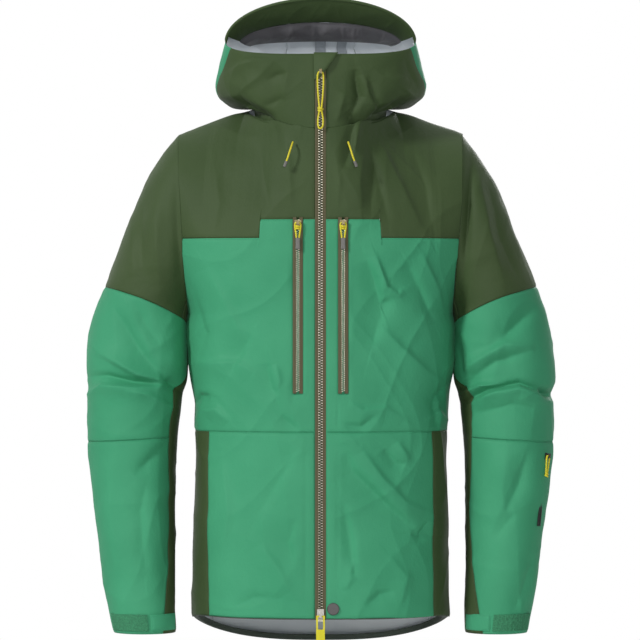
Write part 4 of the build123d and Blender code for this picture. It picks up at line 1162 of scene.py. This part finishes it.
for side, name in ((1, "left"), (-1, "right")):
    panel(f"collar_{name}_cloth", "jacket", [f"collar_{name}"], "olive_cloth", collar_olive, (110, 90),
          from_neck, collar_press, (OLIVE, LINING), "high near", side)
    panel(f"hood_cheek_{name}_cloth", "jacket", [f"collar_{name}"], "emerald_cloth", cheek_front, (24, 60),
          from_neck, collar_press, (EMERALD, LINING), "near", side)
    tips_back(panel(f"hood_behind_{name}_cloth", None, ["collar_back"], "emerald_cloth", cheek_back,
                    (70, 40), from_neck, collar_press, (EMERALD, LINING), "low", side))
    panel(f"hood_side_{name}_cloth", "hood", [f"hood_side_panel_{name}"], "emerald_cloth", hood_side, (80, 80),
          from_hood, hood_press, (EMERALD, LINING), "near far", side)
panel("collar_back_cloth", "jacket", ["collar_back"], "olive_cloth", nape_olive, (150, 40), from_neck,
      collar_press, (OLIVE, LINING), "high")
panel("hood_centre_cloth", "hood", ["hood_centre_panel"], "olive_cloth", hood_centre, (60, 130), from_hood,
      hood_press, (OLIVE, LINING))
print("collar and hood done")

# %% [markdown]
# ## Zips
#
# The zips are moulded coarse-tooth zips on woven tape. Every tooth is its own small block with a
# waist and a head that reaches past the middle, and the two rows are half a pitch apart. One tooth
# is worked out as points, and a whole row is that tooth repeated by adding one step per tooth.

# %% Finishes for zips and fittings


def grained(name, face, shade, grain, depth, rough, metal=0.0, kind="ShaderNodeTexNoise", **pattern):
    """Finish whose colour and bump follow one pattern of a grain size and a relief depth, in millimetres."""
    material, tree, shader = fresh(name)
    place = add(tree, "ShaderNodeTexCoord").outputs["Object"]
    made = add(tree, kind, {"Vector": place}, Scale=1000 / grain, **pattern)
    grain_out = made.outputs["Fac"] if "Fac" in made.outputs else made.outputs[0]
    tint = ramp(tree, grain_out, linear(shade), linear(face), 0.2, 0.7)
    relief = add(tree, "ShaderNodeBump", {"Height": grain_out}, Strength=0.8, Distance=depth / 1000)
    tree.links.new(tint.outputs[0], shader.inputs["Base Color"])
    tree.links.new(relief.outputs[0], shader.inputs["Normal"])
    shader.inputs["Roughness"].default_value = rough
    shader.inputs["Metallic"].default_value = metal
    return material


# Woven polyester tape: ribs across it a millimetre apart, matt.
TAPE = grained("woven zip tape", "#625C41", "#4B462F", 3.4, 0.25, 0.75, kind="ShaderNodeTexWave",
               bands_direction="Z", Distortion=0.4, Detail=2.0)
# Moulded acetal teeth with a metallised coat that glints where it faces the light. Their pale colour is painted
# glint: the teeth themselves are dark bronze, and the pale base makes them read as bright dots between the dark
# gaps.
TOOTH_PAINTED_GLINT = grained("moulded teeth with painted glint", "#BBB7A6", "#7E7964", 2.0, 0.05, 0.3, 0.4)
NICKEL = grained("satin nickel die casting", "#8E8A84", "#6E6B66", 1.5, 0.04, 0.34, 0.8)
BRONZE = grained("dark plated die casting", "#595036", "#3A3424", 1.5, 0.04, 0.36, 0.8)
# Braided polyester cord: diagonal plaits about a millimetre long.
BRAID = grained("yellow braided cord", "#F2E83A", "#D2C22A", 4.2, 0.35, 0.6, kind="ShaderNodeTexWave",
                bands_direction="DIAGONAL", Distortion=1.5, Detail=1.0)
WEBBING = grained("yellow woven webbing", "#F2E72E", "#C9BC1E", 5.0, 0.3, 0.65, kind="ShaderNodeTexWave",
                  bands_direction="X", Distortion=0.3)
RUBBER = grained("grey moulded rubber", "#74736F", "#5E5D59", 0.8, 0.05, 0.6)
SNAP = grained("lacquered snap cap", "#3A3837", "#302E2D", 1.2, 0.03, 0.42)
BLACK_TAPE = grained("black coil zip", "#232321", "#121211", 2.4, 0.3, 0.55, kind="ShaderNodeTexWave",
                     bands_direction="Z", Distortion=0.2)
# Hook-and-loop pile: a dense mat of tiny loops that breaks the light up.
PILE = grained("emerald loop pile", "#3F8F66", "#276446", 1.6, 0.9, 0.9)
TAPE_GREY = grained("grey seam tape", "#A9AEB4", "#9AA0A6", 6.0, 0.1, 0.5)
print("zip finishes ready")

# %% Zip lines


def line_from_eye(eye, up, across):
    """A zip's frame from its slider's eye (peg millimetres): local x across, y up, z out of the cloth."""
    up, across = unit(np.array(up)), unit(np.array(across))
    return {"at": np.array(eye) - NECK, "axes": np.stack([across, up, np.cross(across, up)])}


def on_line(line, x, y, out):
    """Garment point of a zip's local one; y and out count from the eye."""
    return line["at"] + point(x, y, out) @ line["axes"]


FRONT_UP, FRONT_ACROSS = (0, 0.03797, 0.99928), (1, 0, 0)
MAIN = line_from_eye((0, -192.765, 18.286), FRONT_UP, FRONT_ACROSS)
CHEST = {s: line_from_eye((s * 31.5, -200.745, -191.714), FRONT_UP, FRONT_ACROSS) for s in (1, -1)}
POCKET = line_from_eye((321.142, -123.468, -518.660), (0.09736, 0.05159, 0.99391), (0.55852, 0.82374, -0.09747))
EYE_OUT, EYE_DOWN = 4.8, 4.5  # from a front zip's teeth face plane and head to its slider's eye
print("four sliders' eyes placed")

# %% Teeth and tape
PITCH, TOOTH_OUT = 3.7, 1.6


def tooth():
    """One tooth as seven rings of eight points along x: root, waist, shoulder and head at the zip's middle."""
    rings = [(2.9, 0.6, -0.1), (2.85, 0.66, 0.0), (1.5, 0.62, 0.0), (0.9, 0.45, -0.1), (0.4, 0.5, -0.2),
             (-0.1, 0.55, -0.4), (-0.3, 0.4, -0.6)]
    x, half, sink = (np.array(c)[:, None] for c in zip(*rings))
    across = np.array([-1, -0.7, 0.7, 1, 1, 0.7, -0.7, -1])
    out = np.array([0.62, 1, 1, 0.62, -0.62, -1, -1, -0.62])
    points = np.stack(np.broadcast_arrays(x, half * across, (TOOTH_OUT + sink) * out), axis=-1)
    count = len(rings)
    faces = [list(f) for f in grid_faces(count, 8, True)[:, ::-1]]
    return points.reshape(-1, 3), faces + [list(range(8)), list(range(8 * count - 1, 8 * count - 9, -1))]


def teeth_row(name, line, way, low, high, node, material, scale=1.0, out=-EYE_OUT - 1.1):
    """Row of teeth from low to high along a zip, on its way side, as repeats of one tooth."""
    shape, faces = tooth()
    steps = np.arange(low + (PITCH / 2 * scale if way > 0 else 0), high, PITCH * scale)
    local = shape * scale * [way, 1, 1] + np.stack([0 * steps, steps, 0 * steps], axis=-1)[:, None]
    points = on_line(line, local[..., 0], local[..., 1], local[..., 2] + out)
    one = len(shape)
    every = [[v + one * k for v in (f if way > 0 else f[::-1])] for k in range(len(steps)) for f in faces]
    piece = mesh_object(name, points, every, materials=[material])
    piece.data.polygons.foreach_set("use_smooth", np.zeros(len(piece.data.polygons), bool))
    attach(piece, "jacket")
    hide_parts(node)
    return piece


def ribbon(name, body, node, material, surface, size, away, thick=1.0, bevel=0.3):
    """Strip of woven tape or webbing: a surface with thickness and softened edges."""
    u, v = grid(*size)
    p = surface(u, v)
    out = np.broadcast_to(away, p.shape)
    piece = mesh_object(name, p, facing_out(p, out, grid_faces(*p.shape[:2])),
                        {"cloth": np.stack([lengths(p, 1), lengths(p, 0)], axis=-1) * MM}, [material])
    wall = piece.modifiers.new("thickness", "SOLIDIFY")
    wall.thickness, wall.offset = thick * MM, -1
    edge_round = piece.modifiers.new("edge", "BEVEL")
    edge_round.width, edge_round.segments = bevel * MM, 2
    edge_round.limit_method, edge_round.angle_limit = "ANGLE", 0.9
    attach(piece, body)
    if node:
        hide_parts(node)
    return piece


def tape(name, line, way, inner, outer, low, high, node, material=TAPE, out=-EYE_OUT - 0.9):
    """Tape on one side of the teeth, slightly bowed, with a corded bead beside the teeth."""

    def surface(u, v):
        x = inner + (outer - inner) * u
        swell = 0.7 * np.exp(-(((u - 0.08) / 0.1) ** 2)) + 0.3 * np.sin(np.pi * u)
        return on_line(line, way * x, low + (high - low) * v, out + swell)

    return ribbon(name, "jacket", node, material, surface, (12, 160), line["axes"][2])


MAIN_LOW = -(58 + 706) * np.hypot(1, FRONT_LEAN) + EYE_DOWN
CHEST_LOW = -(392 - 152) * np.hypot(1, FRONT_LEAN) + EYE_DOWN
for side, name in ((1, "left"), (-1, "right")):
    teeth_row(f"main_teeth_{name}", MAIN, side, MAIN_LOW + 1, EYE_DOWN, f"main_zip_teeth_{name}",
              TOOTH_PAINTED_GLINT)
    tape(f"main_tape_{name}", MAIN, side, 2.3, 7.6, MAIN_LOW - 1, EYE_DOWN + 12, "main_zip_tapes")
    for way, edge_name in ((1, "outer"), (-1, "inner")):
        teeth_row(f"chest_teeth_{name}_{edge_name}", CHEST[side], way, CHEST_LOW + 1, EYE_DOWN,
                  "chest_zip_teeth", TOOTH_PAINTED_GLINT, 0.8, -EYE_OUT + 0.4)
        tape(f"chest_tape_{name}_{edge_name}", CHEST[side], way, 1.8, 7.0, CHEST_LOW - 2, EYE_DOWN + 3,
             "chest_zip_tapes", out=-EYE_OUT + 0.2)
    tape(f"pocket_tape_{name}", POCKET, side, 1.5, 4.4, -100, EYE_DOWN, "sleeve_zip", BLACK_TAPE,
         -4.4)
    teeth_row(f"pocket_teeth_{name}", POCKET, side, -99, EYE_DOWN, "sleeve_zip",
              BLACK_TAPE, 0.55, -4.2)
print("teeth rows done")

# %% [markdown]
# ## Sliders, pull cords, knots and grips
#
# A pull cord is one smooth curve through its eye. Its knot is an overhand knot, drawn as a thick cord wound
# once round the strands. The grips are moulded, so they are closed rounded shapes.

# %% Cords and their knots


def wound(name, body, nodes, material, route, radius, ring=14, steps=120):
    """Tube along a smooth closed or open route of garment points, with rounded ends.

    At each step the ring lies across the direction of travel; its radius shrinks to nothing at the ends.
    """
    t = np.linspace(0, len(route) - 1, steps)
    k = np.arange(len(route))
    path = np.stack([smooth(k, np.asarray(route, float)[:, c], t) for c in range(3)], axis=-1)
    ahead = unit(np.gradient(path, axis=0))
    side = unit(np.cross(ahead, np.where(np.abs(ahead[:, :1]) < 0.8, [1.0, 0, 0], [0, 0, 1.0])))
    third = np.cross(ahead, side)
    turn = np.linspace(0, 2 * np.pi, ring, endpoint=False)
    size = radius * np.sqrt(np.clip(np.minimum(t, t[-1] - t) / (0.35 * len(route) / 10), 0.02, 1))
    around = side[:, None] * np.cos(turn)[:, None] + third[:, None] * np.sin(turn)[:, None]
    points = path[:, None] + around * size[:, None, None]
    faces = [list(f) for f in facing_out(points, around, grid_faces(steps, ring, True))]
    caps = [list(range(ring)), list(range(ring * steps - 1, ring * (steps - 1) - 1, -1))]
    piece = mesh_object(name, points, faces + caps, materials=[material])
    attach(piece, body)
    if nodes:
        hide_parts(*nodes)
    return piece


def free_cord(name, body, node, route, diameter, exit_at):
    """Braided cord as one NURBS curve drawn by its route (garment millimetres)."""
    curve = bpy.data.curves.new(name, "CURVE")
    curve.dimensions, curve.bevel_depth, curve.bevel_resolution = "3D", diameter / 2 * MM, 5
    curve.use_fill_caps, curve.resolution_u = True, 10
    spline = curve.splines.new("NURBS")
    spline.points.add(len(route) - 1)
    at = (np.asarray(route, float) + NECK) * MM
    spline.points.foreach_set("co", np.hstack([at, np.ones((len(at), 1))]).ravel())
    spline.order_u, spline.use_endpoint_u = 3, True
    curve.materials.append(BRAID)
    piece = bpy.data.objects.new(name, curve)
    bpy.context.scene.collection.objects.link(piece)
    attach(piece, body)
    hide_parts(node)
    return piece


def both_legs(half):
    """Whole route from its left half, which runs from the lower end up to the eye."""
    return [(-x, y) for x, y in half] + [(x, y) for x, y in reversed(half)]


def local_route(line, flat):
    """Garment points of a route given as (x, y) in the plane of the eye."""
    x, y = np.array(flat, float).T
    return on_line(line, x, y, 0 * x)


def knot_round(name, body, nodes, line, y, reach, radius):
    """Knot: a thick turn that winds once and a half round the strands, climbing along them."""
    t = np.linspace(0, 1, 10)
    angle = 2 * np.pi * 1.6 * t + 0.4
    route = on_line(line, reach * np.cos(angle), y + 3.4 * (t - 0.5) * 1.5, 0.75 * reach * np.sin(angle))
    return wound(name, body, nodes, BRAID, route, radius)


MAIN_HALF = [(1.5, -50), (3.1, -36), (4.2, -18), (4.2, 0)]
MAIN_ROUTE = both_legs(MAIN_HALF) + [(1.7, -56), (4, -66), (3.2, -79), (-3.2, -80), (-4, -66), (-1.7, -56)]
knot = knot_round("main_pull_knot_wound", "main_pull", ["main_pull_knot"], MAIN, -53, 2.9, 1.45)
free_cord("main_pull_cord_braided", "main_pull", "main_pull_cord", local_route(MAIN, MAIN_ROUTE), 2.4,
          on_line(MAIN, 0, -53, 0))
CHEST_HALF = [(1.5, -26), (2.3, -16.5), (3.9, -8.5), (4.2, 0)]


def grip(name, body, node, line, low, high, half, thick):
    """Moulded grip: a superellipse section along a length, rounded at its ends and waisted in its middle."""
    v, u = np.mgrid[0:1:26j, 0:2 * np.pi:33j][:, :, :-1]
    end = np.clip(np.minimum(v, 1 - v) / 0.1, 0, 1)
    size = np.sqrt(1 - (1 - end) ** 2) * (1 - 0.1 * np.sin(np.pi * v) ** 2)
    c, s = np.cos(u), np.sin(u)
    points = on_line(line, half * size * np.sign(c) * np.abs(c) ** 0.5, low + (high - low) * v,
                     thick * size * np.sign(s) * np.abs(s) ** 0.6)
    middle = on_line(line, 0 * u, low + (high - low) * v, 0 * u)
    faces = [list(f) for f in facing_out(points, points - middle + 1e-6, grid_faces(26, 32, True))]
    piece = mesh_object(name, points, faces + [list(range(32)), list(range(26 * 32 - 1, 25 * 32 - 1, -1))],
                        materials=[RUBBER])
    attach(piece, body)
    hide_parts(node)
    return piece


for side, name in ((1, "left"), (-1, "right")):
    line = CHEST[side]
    held = grip(f"chest_grip_{name}", f"chest_pull_{name}", f"chest_pull_grip_{name}", line, -38, -21, 3.4, 1.9)
    tie = knot_round(f"chest_knot_{name}", f"chest_pull_{name}", None, line, -7, 2.3, 1.3)
    free_cord(f"chest_pull_cord_{name}_braided", f"chest_pull_{name}", f"chest_pull_cord_{name}",
              local_route(line, both_legs(CHEST_HALF)), 2.4, on_line(line, 0, -26, 0))
SLEEVE_HALF = [(1.5, -29), (2.6, -18), (3.6, -8.5), (4.0, 0)]
tie = knot_round("pocket_pull_knot", "sleeve_pull", None, POCKET, -27, 2.2, 1.3)
free_cord("sleeve_pull_cord_braided", "sleeve_pull", "sleeve_pull_cord",
          local_route(POCKET, both_legs(SLEEVE_HALF)), 2.4, on_line(POCKET, 0, -28, 0))

HOOD_ROUTE = np.array([(38.5, -129, -44.5), (40, -136, -49.5), (42.5, -138.6, -57), (44.8, -139, -65),
                       (47.8, -138.6, -73)])
for side, name in ((1, "left"), (-1, "right")):
    route = HOOD_ROUTE * (1.0 if side > 0 else MIRROR)
    way = unit(route[-1] - route[-2])
    tip = wound(f"hood_cord_tip_{name}", "jacket", ["hood_cord_tips"], RUBBER,
                [route[-1] - 2 * way, route[-1] + 2.5 * way, route[-1] + 7 * way], 2.2, steps=30)
    free_cord(f"hood_cord_{name}_braided", "jacket", f"hood_cord_{name}", route, 2.6, route[0])
print("cords done")

# %% [markdown]
# ## Inside the hood and the hem
#
# Looking into the hood one sees the stiff brim's underside, then a wrinkled grey facing that hides the
# drawcord, then the pale backing of the shell with taped seams. At the hem a facing is turned up
# inside the shell.

# %% Brim, facing and linings
BRIM, FACING, SIDE_DIP = (34.0, 30.0), (72.0, 54.0), 0.6


def hood_band(turn_from, shallow, deep):
    """Band behind the hood's rim between two (back, down) offsets, drawn in sideways near its ends."""

    def surface(u, v):
        turn = turn_from + (180 - 2 * turn_from) * u
        back, dip = (a + (b - a) * v for a, b in zip(shallow, deep))
        c, s = np.cos(np.radians(turn)), np.sin(np.radians(turn))
        offset = point(-dip * SIDE_DIP * c, back, -dip * s)
        return rim(turn) + offset

    return surface


def before_face(p):
    """Direction from a band under the brim to a point before the face."""
    return unit(point(0.3 * p[..., 0], -170, 20) - p)


def band_press(wrinkles):
    """Wrinkles that run along the band, and a swelling across it."""

    def press(p, away):
        across = np.sin(np.pi * np.linspace(0, 1, p.shape[0]))[:, None]
        lines = 0.8 * waves(p, 40, 61) + ridges(p, 34, 62)
        return 3 + wrinkles * across * (2.5 + 1.1 * lines)

    return press


panel("hood_brim_cloth", "hood", ["hood_brim"], "olive_cloth", hood_band(9, (0, 0), BRIM), (160, 24),
      before_face, band_press(0.5), (OLIVE, OLIVE), "low high", thick=1.5)
panel("hood_facing_cloth", "hood", ["hood_facing"], "grey_facing", hood_band(7, (35, 30.5), FACING), (200, 40),
      before_face, band_press(1.6), (GREY, GREY), "low", thick=1.5)
edge_line = rim(np.linspace(-1, 181, 40))
wound("hood_rim_binding", "hood", None, OLIVE, edge_line + before_face(edge_line) * 1.6, 2.3, 12,
      240)


def inside(surface, depth, away):
    """The surface moved inwards by a depth."""

    def moved(u, v):
        p = surface(u, v)
        return p - away(p) * depth

    return moved


def lining_rear(u, v):
    """Lining of the back of the collar from one side round to the other."""
    return collar_rear(1 - np.abs(1 - 2 * u), v) * np.where((u <= 0.5)[..., None], 1.0, MIRROR)


tips_back(panel("neck_lining_cloth", None, ["neck_lining"], "pale_lining", inside(lining_rear, 3.0, from_neck),
                (130, 40), from_neck, collar_press, (LINING, LINING), ""))


def seam_tape(name, ride, x, drop):
    """Sealing tape over a seam inside the nape, from the hood's crown down."""

    def surface(u, v):
        side, height = x + (u - 0.5) * 16, 0.42 + 0.56 * v
        across = np.clip(0.5 - side / 110, 0, 1)
        p = hood_centre(across, height)
        return p - from_hood(p) * drop

    u, v = grid(6, 60)
    p = surface(u, v)
    piece = mesh_object(name, p, facing_out(p, -from_hood(p), grid_faces(*p.shape[:2])), None, [TAPE_GREY])
    wall = piece.modifiers.new("thickness", "SOLIDIFY")
    wall.thickness, wall.offset = 0.3 * MM, 0
    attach(piece, ride)
    return piece


seam_tape("nape_seam_tape", "hood", 0, 2.6)
seam_tape("nape_second_seam_tape", "hood", 34, 2.6)


def hem_turned(u, v):
    """Turned-up hem inside the shell, from one front edge round the back to the other."""
    start = turn_at(HEM_Z, GAP)
    turn = start + (360 - 2 * start) * u
    p = body(np.full(np.shape(turn), HEM_Z), turn)
    p[..., 2] = HEM_Z - hem_drop(turn) + 8 * v
    return p - from_body(p) * 6


panel("hem_facing_cloth", "jacket", ["hem_facing"], "hem_facing_cloth", hem_turned, (220, 10), from_body,
      no_folds, (HEM_CLOTH, HEM_CLOTH), "high", thick=1.0)


def hem_rim(u, v):
    """Rolled lower edge of the back hem that joins the shell to its facing."""
    start = turn_at(HEM_Z, GAP)
    turn = start + (360 - 2 * start) * u
    p = body(np.full(np.shape(turn), HEM_Z), turn)
    p[..., 2] = HEM_Z - hem_drop(turn) - 0.8 * np.sin(np.pi * v)
    return p - from_body(p) * (6.5 * v)[..., None]


panel("hem_edge_cloth", "jacket", ["hem_facing"], "hem_facing_cloth", hem_rim, (220, 6), from_body, no_folds,
      (HEM_CLOTH, HEM_CLOTH), "", thick=0.8)
print("linings and facings done")

# %% [markdown]
# ## Small pieces of cloth
#
# The flap over the top of the zip, the storm flap behind it, the cuffs' straps and loop patches, the
# pocket bags and the hang loop.

# %% Zip garage and storm flap
FLAP_LEFT, FLAP_EDGE = -9.5, [(23.5, 78.5), (-3.5, 43.0)]


def on_front_plane(x, z, out):
    """Point over the front line: out is how far it stands before the collar."""
    return point(x, front_y(z) - out, z + 0 * x)


def garage(u, v):
    """Flap over the top of the zip: its left edge is upright and its free edge runs down slantwise."""
    z = 43 + (80.5 - 43) * v
    free = FLAP_EDGE[1][0] + (FLAP_EDGE[0][0] - FLAP_EDGE[1][0]) * v ** 0.9 + 1.0
    x = FLAP_LEFT + (free - FLAP_LEFT) * u
    swell = np.sin(0.6 * np.pi * np.clip(u, 0, 1)) * (0.35 + 0.65 * np.sin(np.pi * v))
    lift = 3.0 + 4.2 * swell - 1.5 * (1 - u)
    return on_front_plane(x, z, lift)


def garage_under(u, v):
    """Cloth that closes the collar above the zip, behind the flap."""
    z = 60 + 20 * v
    return on_front_plane(-8 + 17 * u, z, 0.4 + 0.4 * np.sin(np.pi * u))


def forwards(p):
    """Straight forwards."""
    return np.broadcast_to(np.array([0.0, -1, 0]), p.shape)


panel("zip_garage_cloth", "jacket", ["zip_garage"], "olive_cloth", garage, (40, 44), forwards, no_folds,
      (OLIVE, OLIVE), "far high", thick=1.0)
panel("collar_join_cloth", "jacket", ["zip_garage"], "olive_cloth", garage_under, (24, 20), forwards, no_folds,
      (OLIVE, OLIVE), "", thick=1.0)


def neck_band(u, v):
    """Band inside the neck seam that closes the collar's foot."""
    p = neck(22 + 96 * u)
    inward = unit((p - NECK_SIDE * [0, 1, 1]) * [1, 1, 0])
    p = p - inward * (12 - 3 * v[..., None])
    p[..., 2] += -22 + 40 * v
    return p


for side, name in ((1, "left"), (-1, "right")):
    panel(f"neck_band_{name}_cloth", "jacket", [f"collar_{name}"], "olive_cloth", neck_band, (60, 20),
          from_neck, no_folds, (OLIVE, OLIVE), "", side, thick=1.0)
STORM_LOW, STORM_HIGH = HEM_Z + 6, 76.0


def storm(u, v):
    """Storm flap behind the zip, from the hem to the collar."""
    z = STORM_LOW + (STORM_HIGH - STORM_LOW) * v
    return on_front_plane(-16 + 32 * u, z, -7.0)


panel("wind_flap_cloth", "jacket", ["wind_flap"], "olive_cloth", storm, (12, 120), forwards,
      lambda p, away: 0.5 * waves(p, 80, 71), (OLIVE, LINING), "near far", thick=1.2)

# %% Cuff straps and loop patches
BAND = (9.70, 9.95)


def on_cuff(turns, out):
    """Band on the outside of the cuff between two turns."""

    def surface(u, v):
        ring = BAND[1] + (BAND[0] - BAND[1]) * v
        turn = turns[0] + (turns[1] - turns[0]) * u
        p = sleeve(ring, turn)
        return p + unit(p - sleeve_middle(ring)) * out

    return surface


def from_cuff(p):
    """Away from the middle of the cuff."""
    middle = sleeve_middle(np.full(p.shape[:2], 9.8)) * np.where(p[..., :1] < 0, MIRROR, 1.0)
    flat = (p - middle) * [1, 1, 0]
    return unit(flat)


for side, name in ((1, "left"), (-1, "right")):
    panel(f"cuff_loop_patch_{name}", "jacket", ["cuff_loop_patches"], "hook_loop", on_cuff((25, 100), 1.9),
          (90, 30), from_cuff, lambda p, away: 0.25 * waves(p, 4.5, 81), (PILE, EMERALD), "", side, thick=1.4)
    strap = panel(f"cuff_strap_{name}", f"cuff_tab_{name}", [f"cuff_tab_{name}"], "emerald_cloth",
                  on_cuff((105, 165), 2.4), (60, 24), from_cuff, no_folds, (EMERALD, PILE), side=side,
                  thick=1.6)
    edge_round = strap.modifiers.new("edge", "BEVEL")
    edge_round.width, edge_round.segments, edge_round.angle_limit = 0.4 * MM, 2, 0.9
print("cuffs done")

# %% Pocket bags and hang loop
for side, name in ((1, "left"), (-1, "right")):

    def bag(u, v, side=side):
        """Front of a flat pocket bag behind the chest."""
        x, z = 20 + 68 * u, POCKET_Z + 8 + (-152 - POCKET_Z - 8) * v
        return on_front_plane(side * x, z, -13.4)

    panel(f"chest_pocket_bag_{name}", "jacket", ["chest_pocket_bags"], "pale_lining", bag, (24, 60), forwards,
          no_folds, (LINING, LINING), thick=2.4)
LOOP_BOX = [np.array(c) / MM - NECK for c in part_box("hang_loop")]


def hang_arch(u, v):
    """Hang loop: half a turn of tape between its two sewn ends, wider than it is deep."""
    low, high = LOOP_BOX
    turn = np.pi * v
    middle_x, wide, tall = (low[0] + high[0]) / 2, (high[0] - low[0]) / 2, high[2] - low[2]
    y = low[1] + (high[1] - low[1]) * (0.02 + 0.96 * u)
    return point(middle_x - wide * np.cos(turn), y, low[2] + (tall - 0.2) * np.sin(turn))


def from_loop(p):
    """Away from the middle of the hang loop's foot."""
    low, high = LOOP_BOX
    return unit((p - point((low[0] + high[0]) / 2, 0, low[2] - 1)) * [1, 0, 1])


p_loop = hang_arch(*grid(8, 60))
ribbon("hang_loop_tape", "jacket", "hang_loop", TAPE, hang_arch, (8, 60), from_loop(p_loop), 1.4)
print("small cloth done")

# %% [markdown]
# ## Fittings kept from the engineered parts
#
# The sliders, the stop, the snap and the webbing tab have their true shapes already, so they only take
# finishes.

# %% Finishes for kept fittings
# The bottom stop takes the teeth's finish, pale with painted glint.
KEPT = {"main_slider": BRONZE, "bottom_slider": NICKEL, "chest_slider_left": BRONZE,
        "chest_slider_right": BRONZE, "sleeve_slider": BLACK_TAPE, "zip_bottom_stop": TOOTH_PAINTED_GLINT,
        "snap_cap": SNAP, "bottom_pull_tab": WEBBING}
for node, material in KEPT.items():
    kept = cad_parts[node]
    kept.data.materials.clear()
    kept.data.materials.append(material)
print("kept fittings:", len(KEPT))

# %% [markdown]
# ## Stage, light and camera

# %% Stage
CAMERA_AWAY, MIDDLE_Z, VIEW_WIDE = 5000.0, -292.0, 902.4
camera = bpy.data.objects.new("camera", bpy.data.cameras.new("camera"))
bpy.context.scene.collection.objects.link(camera)
camera.location = (np.array([-0.7, -60 - CAMERA_AWAY, MIDDLE_Z]) + NECK) * MM
camera.rotation_euler = (np.pi / 2, 0, 0)
camera.data.sensor_width = 36
camera.data.lens = 36 * CAMERA_AWAY / VIEW_WIDE
camera.data.clip_end = 50
bpy.context.scene.camera = camera


def area_light(name, at, aim, size, power):
    """Soft rectangular lamp at a place, aimed at another."""
    data = bpy.data.lights.new(name, "AREA")
    data.shape, data.size, data.size_y, data.energy = "RECTANGLE", size[0], size[1], power
    lamp = bpy.data.objects.new(name, data)
    bpy.context.scene.collection.objects.link(lamp)
    lamp.location = at
    lamp.rotation_euler = (Vector(aim) - Vector(at)).to_track_quat("-Z", "Y").to_euler()
    return lamp


# The key lamp stands high on the wearer's right, so the wearer's left falls into shade. A faint strip
# inside the hood lifts its pale lining, which the other lamps hardly reach.
area_light("key", (-2.7, -2.5, 1.7), (0, 0, -0.35), (0.7, 0.7), 94)
area_light("front", (0.3, -4.6, 0.16), (0, 0, -0.2), (0.9, 0.5), 68)
area_light("top", (0.2, 0.5, 2.6), (0, 0, -0.2), (1.6, 1.0), 11)
area_light("back", (1.0, 3.9, 1.1), (0, 0, -0.3), (1.4, 1.0), 64)
inner = area_light("inside the hood", (0, -0.045 + NECK[1] * MM, 0.142 + NECK[2] * MM),
                   (0, 0.12 + NECK[1] * MM, 0.085 + NECK[2] * MM), (0.16, 0.012), 0.1)
inner.visible_camera = inner.visible_glossy = False
world = bpy.data.worlds.new("studio")
bpy.context.scene.world = world
world.use_nodes = True
sky = world.node_tree
sky.nodes.clear()
rays = add(sky, "ShaderNodeLightPath")
seen = rays.outputs["Is Camera Ray"]
for kind in ("Is Glossy Ray", "Is Transmission Ray"):
    seen = add(sky, "ShaderNodeMath", {0: seen, 1: rays.outputs[kind]}, operation="MAXIMUM").outputs[0]
dim = add(sky, "ShaderNodeBackground", Color=(1, 1, 1, 1), Strength=0.12)
white = add(sky, "ShaderNodeBackground", Color=(1, 1, 1, 1), Strength=1.0)
both = add(sky, "ShaderNodeMixShader", {0: seen, 1: dim.outputs[0], 2: white.outputs[0]})
add(sky, "ShaderNodeOutputWorld", {"Surface": both.outputs[0]})
bpy.context.scene.view_settings.view_transform = "Standard"

# %% Floor
FLOOR_Z = -0.95
mesh = bpy.data.meshes.new("floor")
corners = [(-1.2, -1.0), (1.2, -1.0), (1.2, 1.2), (-1.2, 1.2)]
mesh.from_pydata([(x, y, FLOOR_Z) for x, y in corners], [], [(0, 1, 2, 3)])
floor = bpy.data.objects.new("floor", mesh)
bpy.context.scene.collection.objects.link(floor)
plain, tree, shader = fresh("pale matt floor")
shader.inputs["Base Color"].default_value = linear("#F2F2F0")
shader.inputs["Roughness"].default_value = 0.8
floor.data.materials.append(plain)
